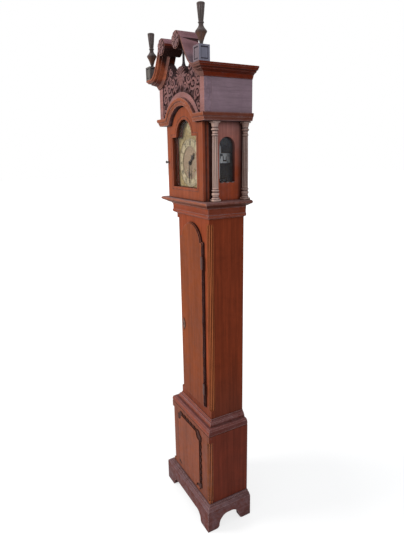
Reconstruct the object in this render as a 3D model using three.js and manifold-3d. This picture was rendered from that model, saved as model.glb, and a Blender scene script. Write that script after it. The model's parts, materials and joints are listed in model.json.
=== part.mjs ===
// A grandmother clock: a small longcase clock with a bracket plinth, a narrow trunk and a swan neck hood.
// Millimetres, +Z up. The front faces -Y, the floor is z = 0 and the back is one flat plane.
import * as THREE from "three";
import { mergeVertices } from "three/addons/utils/BufferGeometryUtils.js";
import Module from "manifold-3d";

const wasm = await Module();
wasm.setup();

// General sizes. Half widths run from the centre line, depths run forward from the back plane,
// and a reach is how far a piece stands out from the one under it.
const seam = 0.3;
const running = 1;
const slip = 2;
const overrun = 30;
const weldDistance = 0.0001;
const boardThickness = 14;
const frontThickness = 14;
const backboardThickness = 10;

// Trunk with its door opening and fluted quarter columns.
const trunkHalf = 120.5;
const trunkDepth = 141;
const trunkHeight = 795;
const trunkSink = 20;
const trunkColumnRadius = 17;
const trunkColumnFoot = 31;
const trunkColumnDrop = 54;
const columnCapHeight = 20;
const cornerFlutes = 4;
const fluteDepth = 1.6;

// Plinth: skirting boards with a moulded top edge, cut out to leave four bracket feet.
const skirtHeight = 82;
const plinthMouldingHeight = 20;
const plinthReach = 24.5;
const plinthFrontReach = 22;
const frontFootWidth = 54;
const sideFootWidth = 40;
const frontArchHeight = 42;
const sideArchHeight = 56;

// Base box with a raised panel and fluted quarter columns in its front corners.
const baseHeight = 294;
const baseReach = 36;
const baseFrontReach = 32;
const baseSink = 38;
const floorHeight = 8;
const floorThickness = 12;
const baseColumnRadius = 17;
const baseColumnFoot = 12;
const baseColumnDrop = 26;
const panelStile = 58.5;
const panelFoot = 14;
const panelDrop = 14;
const panelThickness = 7;
const panelEdge = 3;
const panelCornerRadius = 17;
const panelWave = 6;
const panelWaves = 8;
const panelTopWaves = 6;

// Waist moulding between base and trunk.
const waistHeight = 49;

// Trunk door: a lipped board with a tombstone head, hinged on its right edge.
const doorStile = 33.5;
const doorFoot = 35;
const doorDrop = 59;
const doorShoulderStep = 12;
const doorShoulderRise = 14;
const doorLip = 9;
const doorLipThickness = 10;
const doorLipEdge = 3.5;
const doorBlockThickness = 12;
const trunkHingeLength = 46;
const trunkHingeRadius = 3;
const trunkHingeLeaf = 1.6;
const trunkHingeFoot = 53;
const trunkHingeDrop = 96;
const escutcheonInset = 21;
const escutcheonDrop = 28;
const escutcheonHeight = 50;
const escutcheonWidth = 22;
const escutcheonThickness = 2;
const keyholeRadius = 2.6;
const keyholeLength = 11;

// Throat moulding at the trunk's head, and the hood's base moulding that stands on it.
const throatReach = 15.5;
const throatFrontReach = 11.5;
const throatHeight = 36;
const hoodBaseReach = 11.4;
const hoodBaseFrontReach = 4.3;
const hoodBaseThickness = 24.4;

// Hood sides with an arched window each.
const hoodReach = 7;
const hoodBoardThickness = 14;
const windowBack = 42;
const windowWidth = 61;
const windowFoot = 60.3;
const windowDrop = 35;
const windowLobes = 3;
const windowLobeDepth = 3;
const windowGlassThickness = 3;
const windowGlassLap = 7;

// Hood columns.
const columnReach = 19.5;
const columnSetback = 20.4;
const columnSquare = 25.6;
const columnSquareThickness = 5;
const columnPlinthThickness = 7;
const columnRadius = 10.2;
const columnFlutes = 8;
const pillarFootShare = 0.13;
const pillarHeadShare = 0.155;
const columnWaistShare = 0.97;
const columnTaperShare = 0.84;
const columnFluteShare = 0.84;

// Mask behind the hood door, and the door itself with its arched pane.
const maskReach = 9.4;
const maskThickness = 8;
const maskLap = 20;
const hoodDoorReach = 4;
const hoodDoorThickness = 16;
const hoodDoorRise = 1.4;
const hoodDoorDrop = 1.6;
const hoodDoorArchStep = 34.5;
const hoodDoorSill = 40.3;
const hoodDoorStile = 41.5;
const hoodDoorArchRail = 39;
const openingDrop = 10;
const openingShoulderRise = 2;
const doorGlassThickness = 2.5;
const doorGlassLap = 5;
const glazingRebate = 9;
const beadGap = 8;
const beadWidth = 2.2;
const beadDepth = 1.5;
const knobRadius = 5;
const knobLength = 11;
const knobInset = 6.5;

// Architrave: the moulding that runs along the sides and breaks into an arch over the door.
const architraveRise = 44;
const architraveHeight = 24;
const architraveReach = 9.6;
const architraveFrontReach = 10.8;
const archClearance = 4.5;

// Frieze, tympanum and pediment.
const friezeHeight = 101.5;
const friezeReach = 17;
const friezeFrontReach = 9.7;
const friezeThickness = 16;
const soffitThickness = 12;
const corniceHeight = 33.5;
const corniceReach = 35.4;
const corniceFrontReach = 34.8;
const corniceSlab = 12;
const corniceSlabReach = 31;
const tympanumThickness = 17;
const reliefDepth = 8.4;
const stileWidth = 27;
const archBandWidth = 18;
const neckClearance = 3.4;
const neckKneeShare = 0.66;
const neckShoulderShare = 0.443;
const neckShoulderRise = 62;
const scrollX = 54;
const scrollRise = 84;
const scrollRadius = 26;
const scrollTurnShare = 0.097;
const scrollProud = 2.5;
const rosetteRadius = 24;
const rosetteThickness = 5;
const rosettePetals = 8;
const shellHalf = 34;
const shellDrop = 6;
const shellRise = 21;
const shellSeat = 7;
const shellRibs = 9;

// Finials and the blocks under the outer two.
const finialBlock = 36;
const finialBlockHeight = 44;
const finialPanelMargin = 6;
const finialPanelDepth = 1.2;
const finialHeight = 110;
const centreFinialHeight = 98;
const finialRadius = 17.6;
const finialReeds = 8;
const finialReedShare = 0.07;

// Seat board and movement.
const seatDrop = 56;
const seatThickness = 12;
const seatLeg = 170;
const seatSlotWidth = 14;
const plateHalf = 58;
const plateHeight = 148;
const plateThickness = 3;
const plateSpacing = 50;
const pillarRadius = 3.5;
const pillarInset = 5.5;
const pivotRadius = 2;
const barrelX = 28;
const barrelDrop = 26;
const barrelRadius = 18;
const barrelLength = 26;
const barrelFlange = 1.6;
const greatWheelRadius = 22;
const wheelThickness = 2;
const wheelTeeth = 16;
const wheelSpokes = 4;
const toothHeight = 1.6;
const centreWheelRadius = 21;
const escapeRise = 52;
const escapeRadius = 15;
const escapeTeeth = 30;
const palletRise = 21;
const palletSpan = 14;
const cockOverhang = 10;
const bellRadius = 30;
const bellThickness = 2.4;
const bellRise = 34;

// Dial and hands.
const dialClearance = 0.8;
const dialThickness = 2;
const dialLap = 7;
const dialFoot = 9;
const dialHeadLap = 4;
const dialPostRadius = 3;
const dialPostLength = 27.6;
const chapterMargin = 8;
const chapterFoot = 1;
const chapterWidth = 26;
const chapterThickness = 1.4;
const spandrelThickness = 1.2;
const moonRadius = 26;
const minuteHandLength = 70;
const hourHandLength = 46;
const handThickness = 1.2;
const handGap = 1.4;
const minuteArborRadius = 2.4;
const hourPipeRadius = 4.4;
const hourWheelRadius = 17;
const windingHoleRadius = 5.5;
const windingSquare = 4.4;

// Pendulum, weights and lines.
const pendulumSetback = 26;
const pendulumLength = 800;
const rodWidth = 9;
const rodThickness = 5;
const springWidth = 8;
const springThickness = 0.6;
const springLength = 26;
const bobRadius = 40;
const bobThickness = 17;
const screwLength = 60;
const nutRadius = 7;
const weightRadius = 20;
const weightHeight = 150;
const weightRise = 55;
const hookHeight = 16;
const lineRadius = 1.2;

// Outline curves drawn in shares of their own width and height. A row of four holds a curve's control point first.
const plinthShares = [[0, 0], [1, 0], [1, 0.8], [0.98, 0.88, 0.82, 0.885], [0.72, 0.9], [0.6, 0.96, 0.34, 0.95], [0.3, 0.98], [0.1, 1], [0, 1]];
const waistShares = [
  [0, 0], [0.95, 0], [0.95, 0.05], [1, 0.08], [1, 0.2], [1, 0.42, 0.74, 0.5], [0.42, 0.5], [0.42, 0.56],
  [0.4, 0.72, 0.3, 0.74], [0.3, 0.8], [0.1, 0.84, 0.06, 0.97], [0.06, 1], [0, 1],
];
const throatShares = [
  [0, 0], [0.3, 0], [0.34, 0.06], [0.8, 0.08], [1.12, 0.18, 1, 0.32], [0.96, 0.38, 0.84, 0.4], [0.84, 0.5],
  [0.78, 0.7, 0.92, 0.94], [0.92, 1], [0, 1],
];
const hoodBaseShares = [
  [0, 0], [0.34, 0], [0.36, 0.12], [0.52, 0.16, 0.66, 0.34], [0.76, 0.46, 0.88, 0.5], [0.92, 0.56], [1, 0.64, 1, 0.76],
  [1, 0.92, 0.9, 0.95], [0.84, 1], [0, 1],
];
const architraveShares = [
  [0, 0], [0.3, 0], [0.3, 0.14], [0.5, 0.18, 0.56, 0.4], [0.62, 0.4], [0.62, 0.5], [0.94, 0.52, 1, 0.72], [1, 0.9], [0.86, 1], [0, 1],
];
const corniceShares = [
  [0, 0], [0.07, 0], [0.07, 0.08], [0.12, 0.42, 0.5, 0.5], [0.6, 0.52], [0.6, 0.62], [0.9, 0.62, 0.94, 0.84], [1, 0.84], [1, 1],
];
const footShares = [[0, 0], [0.2, 0.06, 0.19, 0.25], [0.2, 0.62, 0.5, 0.86], [0.62, 0.97, 0.82, 1]];
const finialShares = [
  [0, 0], [0.3, 0], [0.29, 0.04], [0.36, 0.09], [0.62, 0.21], [0.92, 0.29], [0.98, 0.32], [0.88, 0.35], [0.48, 0.43],
  [0.39, 0.49], [0.5, 0.54], [0.42, 0.57], [0.48, 0.61], [0.62, 0.8], [0.7, 1], [0, 1],
];
const centreFinialShares = [
  [0, 0], [0.36, 0], [0.36, 0.03], [0.17, 0.08], [0.14, 0.56], [0.4, 0.62], [0.44, 0.66], [0.2, 0.74],
  [0.24, 0.79], [0.4, 0.95], [0.42, 1], [0, 1],
];
const reedShares = { from: 0.59, to: 0.99 };
const columnFootShares = [
  [0, 0], [1.24, 0], [1.24, 0.14], [1.02, 0.34], [1.2, 0.4], [1.2, 0.62], [1, 0.7], [1.2, 0.82], [1.2, 0.94], [0, 1],
];
const columnHeadShares = [
  [0, 0], [1.14, 0.04], [1.14, 0.12], [0.94, 0.18], [0.98, 0.34], [1.4, 0.42], [1.4, 0.56], [1.1, 0.66], [1.46, 1], [0, 1],
];
const knobShares = [[0, 0], [0.55, 0], [0.45, 0.25], [0.5, 0.45], [0.95, 0.65], [1, 0.8], [0.8, 0.96], [0, 1]];
const lensShares = [[0, -0.5], [0.5, -0.42], [0.86, -0.22], [1, -0.04], [1, 0.04], [0.86, 0.22], [0.5, 0.42], [0, 0.5]];
const bellShares = [[0, 0], [0.5, -0.01], [0.85, -0.16], [1.06, -0.62]];
const hookShares = { radius: 0.22, wire: 0.8, rise: 0.72 };
const weightShares = [[0, 0], [0.7, 0], [1, 0.02], [1, 0.95], [0.72, 0.99], [0.2, 1], [0.12, 1.06], [0, 1.06]];
const escutcheonShares = { waist: 0.3, drop: 0.7, lobe: 0.5, fall: 0.55, swell: 0.5 };
const handShares = {
  notch: 0.056, root: 0.3, foot: 0.42, belly: 0.5, widest: 0.6, bend: 0.72, shoulder: 0.76, tip: 0.18, hole: 0.42, wide: 1.05,
};
const escapeShares = { root: 0.78, lean: 0.12 };
const anchorShares = { pad: 0.35, root: 0.6, claw: 0.86, reach: 0.47, waist: 0.5 };
const wheelShares = { rim: 0.76, hub: 0.2, spoke: 0.048 };
const petalShares = [[0.2, 0], [0.45, -0.16, 0.84, 0.12], [0.6, 0.2, 0.2, 0.06]];
const rosetteShares = { hollow: 0.8, button: 0.24, ground: 0.5, root: 0.2, rise: 0.85 };
const spandrelShare = 0.42;
const moonShare = 0.72;
const dialPostShare = 0.85;

// The tympanum's scrolls: centre across and up, radius and band width as shares of the frieze's half width, then
// the angle at which each starts and how far it winds, as shares of a turn.
const carvingShares = [
  [0.755, 0.46, 0.1, 0.04, 0.35, 0.9],
  [0.74, 0.65, 0.105, 0.042, 0.1, 0.9],
  [0.6, 0.84, 0.12, 0.045, 0.573, -0.9],
  [0.36, 0.86, 0.1, 0.04, 0.064, 0.9],
];
const windShares = { reach: 0.62, band: 0.5 };
const shellShares = { root: 0.2, valley: 0.86, crown: 1.08, drop: 1.12, rib: 0.36, heart: 0.3, centre: 1.25, reach: 0.5 };

// Sizes that follow from the ones above.
const plinthTop = skirtHeight + plinthMouldingHeight;
const baseHalf = trunkHalf + baseReach;
const baseDepth = trunkDepth + baseFrontReach;
const baseBottom = plinthTop - baseSink;
const baseTop = plinthTop + baseHeight;
const baseColumnBottom = plinthTop + baseColumnFoot;
const baseColumnTop = baseTop - baseColumnDrop;
const plinthHalf = baseHalf + plinthReach;
const plinthDepth = baseDepth + plinthFrontReach;
const panelHalf = baseHalf - panelStile;
const panelBottom = plinthTop + panelFoot;
const panelTop = baseTop - panelDrop;
const waistTop = baseTop + waistHeight;
const trunkBottom = baseTop - trunkSink;
const trunkTop = waistTop + trunkHeight;
const trunkColumnBottom = waistTop + trunkColumnFoot;
const trunkColumnTop = trunkTop - trunkColumnDrop;
const doorHalf = trunkHalf - doorStile;
const doorBottom = waistTop + doorFoot;
const doorArchRadius = doorHalf - doorShoulderStep;
const doorArchCentre = trunkTop - doorDrop - doorArchRadius;
const doorShoulder = doorArchCentre + doorShoulderRise;
const trunkHingeLow = doorBottom + trunkHingeFoot;
const trunkHingeHigh = doorShoulder - trunkHingeDrop;
const escutcheonX = escutcheonInset - doorHalf;
const escutcheonZ = (doorBottom + doorShoulder) / 2 - escutcheonDrop;
const throatHalf = trunkHalf + throatReach;
const throatDepth = trunkDepth + throatFrontReach;
const throatBottom = trunkTop - throatHeight;
const hoodHalf = trunkHalf + hoodReach;
const hoodInner = hoodHalf - hoodBoardThickness;
const hoodBottom = trunkTop + seam;
const hoodFloor = hoodBottom + hoodBaseThickness;
const columnHalf = hoodHalf + columnReach;
const friezeHalf = columnHalf + friezeReach;
const maskDepth = trunkDepth + maskReach;
const maskBack = maskDepth - maskThickness;
const frontColumnDepth = maskDepth - columnSetback;
const rearColumnDepth = columnSquare / 2 + running;
const hoodDoorHalf = hoodHalf + hoodDoorReach;
const hoodDoorDepth = maskDepth + 2 * seam + hoodDoorThickness;
const friezeDepth = hoodDoorDepth + friezeFrontReach;
const hoodBaseHalf = friezeHalf + hoodBaseReach;
const hoodBaseDepth = friezeDepth + hoodBaseFrontReach;
const hoodDoorArchRadius = hoodDoorHalf - hoodDoorArchStep;
const lightHalf = hoodDoorHalf - hoodDoorStile;
const lightBottom = hoodFloor + hoodDoorSill;
const openingHeight = 2 * lightHalf - openingDrop;
const lightShoulder = lightBottom + openingHeight;
const lightArchRadius = hoodDoorArchRadius - hoodDoorArchRail;
const archCentre = lightShoulder - openingShoulderRise;
const archRadius = hoodDoorArchRadius + archClearance;
const maskTop = archCentre + hoodDoorArchRadius + maskLap;
const windowBottom = hoodFloor + windowFoot;
const windowSpring = lightShoulder - windowDrop;
const architraveBottom = archCentre + architraveRise;
const architraveTop = architraveBottom + architraveHeight;
const architraveHalf = friezeHalf + architraveReach;
const architraveDepth = friezeDepth + architraveFrontReach;
const corniceBottom = architraveTop + friezeHeight;
const corniceTop = corniceBottom + corniceHeight;
const corniceHalf = friezeHalf + corniceReach;
const corniceDepth = friezeDepth + corniceFrontReach;
const slabBottom = corniceTop - corniceSlab;
const slabShare = corniceSlabReach / (corniceDepth - friezeDepth);
const hoodDoorBottom = hoodFloor + hoodDoorRise;
const hoodDoorShoulder = architraveBottom - hoodDoorDrop;
const tympanumDepth = friezeDepth - seam;
const tympanumGround = tympanumDepth - reliefDepth;
const tympanumBack = tympanumGround - tympanumThickness;
const neckStart = corniceHalf - finialBlock - neckClearance;
const neckKneeX = scrollX + (neckStart - scrollX) * neckKneeShare;
const neckShoulderX = scrollX + (neckStart - scrollX) * neckShoulderShare;
const neckShoulderZ = corniceTop + neckShoulderRise;
const scrollZ = corniceTop + scrollRise;
const shellBottom = corniceTop - shellDrop;
const shellTop = corniceTop + shellRise;
const finialBlockTop = corniceTop + finialBlockHeight;
const overallDepth = corniceDepth + scrollProud + seam + rosetteThickness;
const dialDepth = maskBack - dialClearance;
const dialHalf = lightHalf + dialLap;
const dialBottom = lightBottom - dialFoot;
const dialShoulder = lightShoulder + dialHeadLap;
const dialArchRadius = lightArchRadius + dialLap;
const chapterOuter = lightHalf - chapterMargin;
const dialCentre = lightBottom + chapterOuter + chapterFoot;
const chapterInner = chapterOuter - chapterWidth;
const frontPlateDepth = dialDepth - dialThickness - dialPostLength;
const backPlateDepth = frontPlateDepth - plateSpacing;
const seatBack = backPlateDepth;
const seatTop = dialCentre - seatDrop;
const seatFront = trunkDepth - trunkColumnRadius - 2 * seam;
const barrelZ = dialCentre - barrelDrop;
const escapeZ = dialCentre + escapeRise;
const palletZ = escapeZ + palletRise;
const barrelFront = frontPlateDepth - plateThickness - running;
const lineX = barrelX + barrelRadius + lineRadius;
const lineDepth = barrelFront - barrelLength / 2 - running;
const pendulumDepth = backPlateDepth - pendulumSetback;
const cockDepth = pendulumDepth - cockOverhang;
const weightBottom = waistTop + weightRise;
const knobX = knobInset - hoodDoorHalf;
const knobZ = (hoodDoorBottom + hoodDoorShoulder) / 2;
const fullTurn = 2 * Math.PI;
const quarterTurn = Math.PI / 2;
const scrollAngle = scrollTurnShare * fullTurn;

const finishes = {
  mahogany: { color: 0x8b4a2e, roughness: 0.45, metalness: 0 },
  darkMahogany: { color: 0x5f2c1e, roughness: 0.5, metalness: 0 },
  carvedMahogany: { color: 0x6b3a33, roughness: 0.6, metalness: 0 },
  greyedWood: { color: 0x7d6f66, roughness: 0.65, metalness: 0 },
  pine: { color: 0x9b7348, roughness: 0.8, metalness: 0 },
  brass: { color: 0xb89a58, roughness: 0.35, metalness: 0.9 },
  silvered: { color: 0xc9c5b8, roughness: 0.4, metalness: 0.7 },
  steel: { color: 0x9a9da0, roughness: 0.35, metalness: 0.9 },
  blackSteel: { color: 0x1b1a1e, roughness: 0.4, metalness: 0.6 },
  line: { color: 0x6e5a3c, roughness: 0.8, metalness: 0 },
  glass: { color: 0xdfe8e4, roughness: 0.05, metalness: 0 },
};

function vector(x, y, z) {
  return new THREE.Vector3(x, y, z);
}

// A three.js geometry as a solid that can be joined and cut.
function solidOf(geometry) {
  const bare = geometry.clone();
  bare.deleteAttribute("normal");
  bare.deleteAttribute("uv");
  const merged = mergeVertices(bare, weldDistance);
  const vertProperties = merged.attributes.position.array;
  const triVerts = new Uint32Array(merged.index.array);
  return new wasm.Manifold(new wasm.Mesh({ numProp: 3, vertProperties, triVerts }));
}

function geometryOf(solid) {
  const { vertProperties, triVerts } = solid.getMesh();
  const geometry = new THREE.BufferGeometry();
  geometry.setAttribute("position", new THREE.BufferAttribute(vertProperties, 3));
  geometry.setIndex(new THREE.BufferAttribute(triVerts, 1));
  geometry.computeVertexNormals();
  return geometry;
}

function joined(...solids) {
  return solids.reduce((sum, solid) => sum.add(solid));
}

function cut(solid, ...tools) {
  return tools.reduce((rest, tool) => rest.subtract(tool), solid);
}

// The same solid on the other side of the centre line.
function mirrored(solid) {
  const geometry = geometryOf(solid);
  geometry.scale(-1, 1, 1);
  const index = geometry.index.array;
  for (let i = 0; i < index.length; i += 3) {
    [index[i], index[i + 1]] = [index[i + 1], index[i]];
  }
  return solidOf(geometry);
}

function piece(name, finish, shape, place = vector(0, 0, 0)) {
  const geometry = shape.isBufferGeometry ? shape : geometryOf(shape);
  const mesh = new THREE.Mesh(geometry, new THREE.MeshStandardMaterial(finishes[finish]));
  mesh.name = name;
  mesh.position.copy(place);
  return mesh;
}

function block(x0, x1, y0, y1, z0, z1) {
  const geometry = new THREE.BoxGeometry(x1 - x0, y1 - y0, z1 - z0);
  geometry.translate((x0 + x1) / 2, (y0 + y1) / 2, (z0 + z1) / 2);
  return solidOf(geometry);
}

// A round bar along Y from the depth `back` to the depth `front`.
function bar(radius, back, front, x = 0, z = 0, sides = 12) {
  const geometry = new THREE.CylinderGeometry(radius, radius, front - back, sides);
  geometry.translate(x, -(back + front) / 2, z);
  return solidOf(geometry);
}

// An outline drawn from the front becomes a board from the depth `back` to the depth `front`.
function frontBoard(outline, back, front, curveSegments = 6) {
  const geometry = new THREE.ExtrudeGeometry(outline, { depth: front - back, bevelEnabled: false, curveSegments });
  geometry.rotateX(quarterTurn);
  geometry.translate(0, -back, 0);
  return solidOf(geometry);
}

// An outline drawn in Y and Z becomes a board from x0 to x1.
function sideBoard(outline, x0, x1, curveSegments = 6) {
  const geometry = new THREE.ExtrudeGeometry(outline, { depth: x1 - x0, bevelEnabled: false, curveSegments });
  geometry.rotateX(quarterTurn);
  geometry.rotateZ(quarterTurn);
  geometry.translate(x0, 0, 0);
  return solidOf(geometry);
}

// An outline drawn in X and Y stands up from z0 to z1.
function standing(outline, z0, z1, curveSegments = 6) {
  const geometry = new THREE.ExtrudeGeometry(outline, { depth: z1 - z0, bevelEnabled: false, curveSegments });
  geometry.translate(0, 0, z0);
  return solidOf(geometry);
}

function polygon(points) {
  return new THREE.Shape(points.map(([x, y]) => new THREE.Vector2(x, y)));
}

function rectangle(x0, x1, y0, y1) {
  return polygon([[x0, y0], [x1, y0], [x1, y1], [x0, y1]]);
}

// Continues an outline through rows of shares, by a line for a row of two and a curve for a row of four.
function follow(shape, rows, place) {
  for (const row of rows) {
    if (row.length === 2) {
      shape.lineTo(...place(row[0], row[1]));
    } else {
      shape.quadraticCurveTo(...place(row[0], row[1]), ...place(row[2], row[3]));
    }
  }
  return shape;
}

function profile(shares) {
  const shape = new THREE.Shape();
  shape.moveTo(...shares[0]);
  return follow(shape, shares.slice(1), (u, v) => [u, v]);
}

// Carries an outline through a row of stations. Each has its own origin and its own out and up directions.
function sweep(outline, stations, curveSegments = 3) {
  const steps = stations.length - 1;
  const geometry = new THREE.ExtrudeGeometry(outline, { depth: steps, steps, bevelEnabled: false, curveSegments });
  const position = geometry.attributes.position;
  for (let i = 0; i < position.count; i++) {
    const { origin, out, up } = stations[Math.round(position.getZ(i))];
    const point = origin.clone();
    point.addScaledVector(out, position.getX(i));
    point.addScaledVector(up, position.getY(i));
    position.setXYZ(i, point.x, point.y, point.z);
  }
  return solidOf(geometry);
}

// A moulding along both sides and the front, mitred at the front corners.
function mitredMoulding(shares, inner, outer, bottom, top) {
  const up = vector(0, 0, top - bottom);
  const side = outer.half - inner.half;
  const front = outer.depth - inner.depth;
  const stations = [
    { origin: vector(inner.half, 0, bottom), out: vector(side, 0, 0), up },
    { origin: vector(inner.half, -inner.depth, bottom), out: vector(side, -front, 0), up },
    { origin: vector(-inner.half, -inner.depth, bottom), out: vector(-side, -front, 0), up },
    { origin: vector(-inner.half, 0, bottom), out: vector(-side, 0, 0), up },
  ];
  return sweep(profile(shares), stations, 2);
}

// A rectangle with an arch on stepped shoulders.
function tombstone(half, bottom, shoulder, radius, centre) {
  const start = Math.asin((shoulder - centre) / radius);
  const shape = new THREE.Shape();
  shape.moveTo(-half, bottom);
  shape.lineTo(half, bottom);
  shape.lineTo(half, shoulder);
  shape.absarc(0, centre, radius, start, Math.PI - start, false);
  shape.lineTo(-half, shoulder);
  return shape;
}

// The opening between two bracket feet, seen square on, centred on zero.
function footArch(half, height) {
  const shape = new THREE.Shape();
  shape.moveTo(-half, -overrun);
  shape.lineTo(half, -overrun);
  shape.lineTo(half, 0);
  follow(shape, footShares.slice(1), (u, v) => [half - u * height, v * height]);
  const left = [...footShares].reverse();
  shape.lineTo(left[0][2] * height - half, height);
  for (let i = 0; i < left.length - 1; i++) {
    const [cu, cv] = left[i];
    const end = left[i + 1].slice(-2);
    shape.quadraticCurveTo(cu * height - half, cv * height, end[0] * height - half, end[1] * height);
  }
  return shape;
}

function plinth() {
  const inner = { half: baseHalf + seam, depth: baseDepth + seam };
  const outer = { half: plinthHalf, depth: plinthDepth };
  const skirting = mitredMoulding(plinthShares, inner, outer, 0, plinthTop);
  const front = frontBoard(footArch(plinthHalf - frontFootWidth, frontArchHeight), baseDepth - overrun, plinthDepth + overrun, 4);
  const sideArch = footArch(plinthDepth / 2 - sideFootWidth, sideArchHeight);
  const side = sideBoard(sideArch, -plinthHalf - overrun, plinthHalf + overrun, 4).translate([0, -plinthDepth / 2, 0]);
  return cut(skirting, front, side);
}

// A quarter of a fluted column with a moulded foot and head. Its axis is the Z axis and it fills the +X, -Y quarter.
function quarterColumn(radius, height, root) {
  const outline = new THREE.Shape();
  const steps = cornerFlutes * 3;
  outline.moveTo(-root, root);
  outline.lineTo(-root, -radius);
  for (let i = 0; i <= steps; i++) {
    const angle = -quarterTurn + (i / steps) * quarterTurn;
    const depth = i % 3 ? fluteDepth : 0;
    outline.lineTo((radius - depth) * Math.cos(angle), (radius - depth) * Math.sin(angle));
  }
  outline.lineTo(radius, root);
  const plain = new THREE.Shape();
  plain.moveTo(-root, root);
  plain.lineTo(-root, -radius);
  plain.absarc(0, 0, radius, -quarterTurn, 0, false);
  plain.lineTo(radius, root);
  const ring = columnCapHeight / 4;
  const solids = [standing(outline, ring, height - ring)];
  for (const bottom of [0, columnCapHeight - ring, height - columnCapHeight, height - ring]) {
    solids.push(standing(plain, bottom, bottom + ring, 3));
  }
  return joined(...solids);
}

function baseFront() {
  const outline = polygon([
    [-baseHalf, baseBottom], [baseHalf, baseBottom],
    [baseHalf, baseColumnBottom], [baseHalf - baseColumnRadius, baseColumnBottom],
    [baseHalf - baseColumnRadius, baseColumnTop], [baseHalf, baseColumnTop],
    [baseHalf, baseTop], [-baseHalf, baseTop],
    [-baseHalf, baseColumnTop], [baseColumnRadius - baseHalf, baseColumnTop],
    [baseColumnRadius - baseHalf, baseColumnBottom], [-baseHalf, baseColumnBottom],
  ]);
  const column = quarterColumn(baseColumnRadius, baseColumnTop - baseColumnBottom, seam);
  const right = column.translate([baseHalf - baseColumnRadius, baseColumnRadius - baseDepth, baseColumnBottom]);
  return joined(frontBoard(outline, baseDepth - frontThickness, baseDepth), right, mirrored(right));
}

// A side board of the base or trunk, with the rebate for the quarter column cut out of its front edge.
function caseSide(half, depth, bottom, top, columnRadius, columnBottom, columnTop) {
  const front = seam + frontThickness - depth;
  const notch = 2 * seam + columnRadius - depth;
  const outline = polygon([
    [front, bottom], [0, bottom], [0, top], [front, top],
    [front, columnTop + seam], [notch, columnTop + seam], [notch, columnBottom - seam], [front, columnBottom - seam],
  ]);
  return sideBoard(outline, half - boardThickness, half);
}

// The applied panel has hollow corners and scalloped edges round a raised field.
function basePanel() {
  const outline = (inset, wave) => {
    const half = panelHalf - inset;
    const low = panelBottom + inset;
    const high = panelTop - inset;
    const corner = panelCornerRadius + inset;
    const shape = new THREE.Shape();
    const scallops = (from, to, out, count) => {
      const steps = wave ? count * 3 : 1;
      for (let i = 1; i < steps; i++) {
        const share = i / steps;
        const sink = wave * (1 - Math.abs(Math.sin(share * count * Math.PI)));
        shape.lineTo(from[0] + share * (to[0] - from[0]) - out[0] * sink, from[1] + share * (to[1] - from[1]) - out[1] * sink);
      }
    };
    shape.moveTo(corner - half, low);
    scallops([corner - half, low], [half - corner, low], [0, -1], panelTopWaves);
    shape.lineTo(half - corner, low);
    shape.absarc(half, low, corner, Math.PI, quarterTurn, true);
    scallops([half, low + corner], [half, high - corner], [1, 0], panelWaves);
    shape.absarc(half, high, corner, -quarterTurn, Math.PI, true);
    scallops([half - corner, high], [corner - half, high], [0, 1], panelTopWaves);
    shape.absarc(-half, high, corner, 0, -quarterTurn, true);
    scallops([-half, high - corner], [-half, low + corner], [-1, 0], panelWaves);
    shape.absarc(-half, low, corner, quarterTurn, 0, true);
    return shape;
  };
  const step = baseDepth + seam + panelThickness - panelEdge;
  const body = frontBoard(outline(0, panelWave), baseDepth + seam, step, 2);
  const field = frontBoard(outline(panelWave + panelEdge, 0), step - seam, baseDepth + seam + panelThickness, 2);
  return joined(body, field);
}

function trunkFront() {
  const outline = polygon([
    [-trunkHalf, trunkBottom], [trunkHalf, trunkBottom],
    [trunkHalf, trunkColumnBottom], [trunkHalf - trunkColumnRadius, trunkColumnBottom],
    [trunkHalf - trunkColumnRadius, trunkColumnTop], [trunkHalf, trunkColumnTop],
    [trunkHalf, trunkTop], [-trunkHalf, trunkTop],
    [-trunkHalf, trunkColumnTop], [trunkColumnRadius - trunkHalf, trunkColumnTop],
    [trunkColumnRadius - trunkHalf, trunkColumnBottom], [-trunkHalf, trunkColumnBottom],
  ]);
  const opening = tombstone(
    doorHalf - doorLip, doorBottom + doorLip, doorShoulder - doorLip, doorArchRadius - doorLip, doorArchCentre,
  );
  outline.holes.push(opening);
  return frontBoard(outline, trunkDepth - frontThickness, trunkDepth, 8);
}

function trunkDoor() {
  const lipBack = trunkDepth + seam;
  const step = lipBack + doorLipThickness - doorLipEdge;
  const lipFront = lipBack + doorLipThickness;
  const slab = tombstone(doorHalf, doorBottom, doorShoulder, doorArchRadius, doorArchCentre);
  const field = tombstone(
    doorHalf - doorLipEdge, doorBottom + doorLipEdge, doorShoulder - doorLipEdge, doorArchRadius - doorLipEdge, doorArchCentre,
  );
  const inset = doorLip + slip;
  const rear = tombstone(doorHalf - inset, doorBottom + inset, doorShoulder - inset, doorArchRadius - inset, doorArchCentre);
  const door = joined(
    frontBoard(slab, lipBack, step, 8),
    frontBoard(field, step - seam, lipFront, 8),
    frontBoard(rear, lipBack - doorBlockThickness, lipBack + seam, 8),
  );
  const keyhole = block(
    escutcheonX - keyholeRadius, escutcheonX + keyholeRadius, -lipFront - overrun, overrun - lipBack,
    escutcheonZ - keyholeLength / 2, escutcheonZ + keyholeLength / 2,
  );
  return cut(door, keyhole);
}

// A hinge knuckle on the door's edge, with the leaf that lies on the door's face.
function trunkHinge() {
  const knuckle = new THREE.CylinderGeometry(trunkHingeRadius, trunkHingeRadius, trunkHingeLength, 8);
  knuckle.rotateX(quarterTurn);
  knuckle.translate(0, 0, trunkHingeLength / 2);
  const leaf = block(-trunkHingeRadius * 3, 0, -trunkHingeLeaf, 0, 0, trunkHingeLength);
  return joined(solidOf(knuckle), leaf);
}

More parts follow.
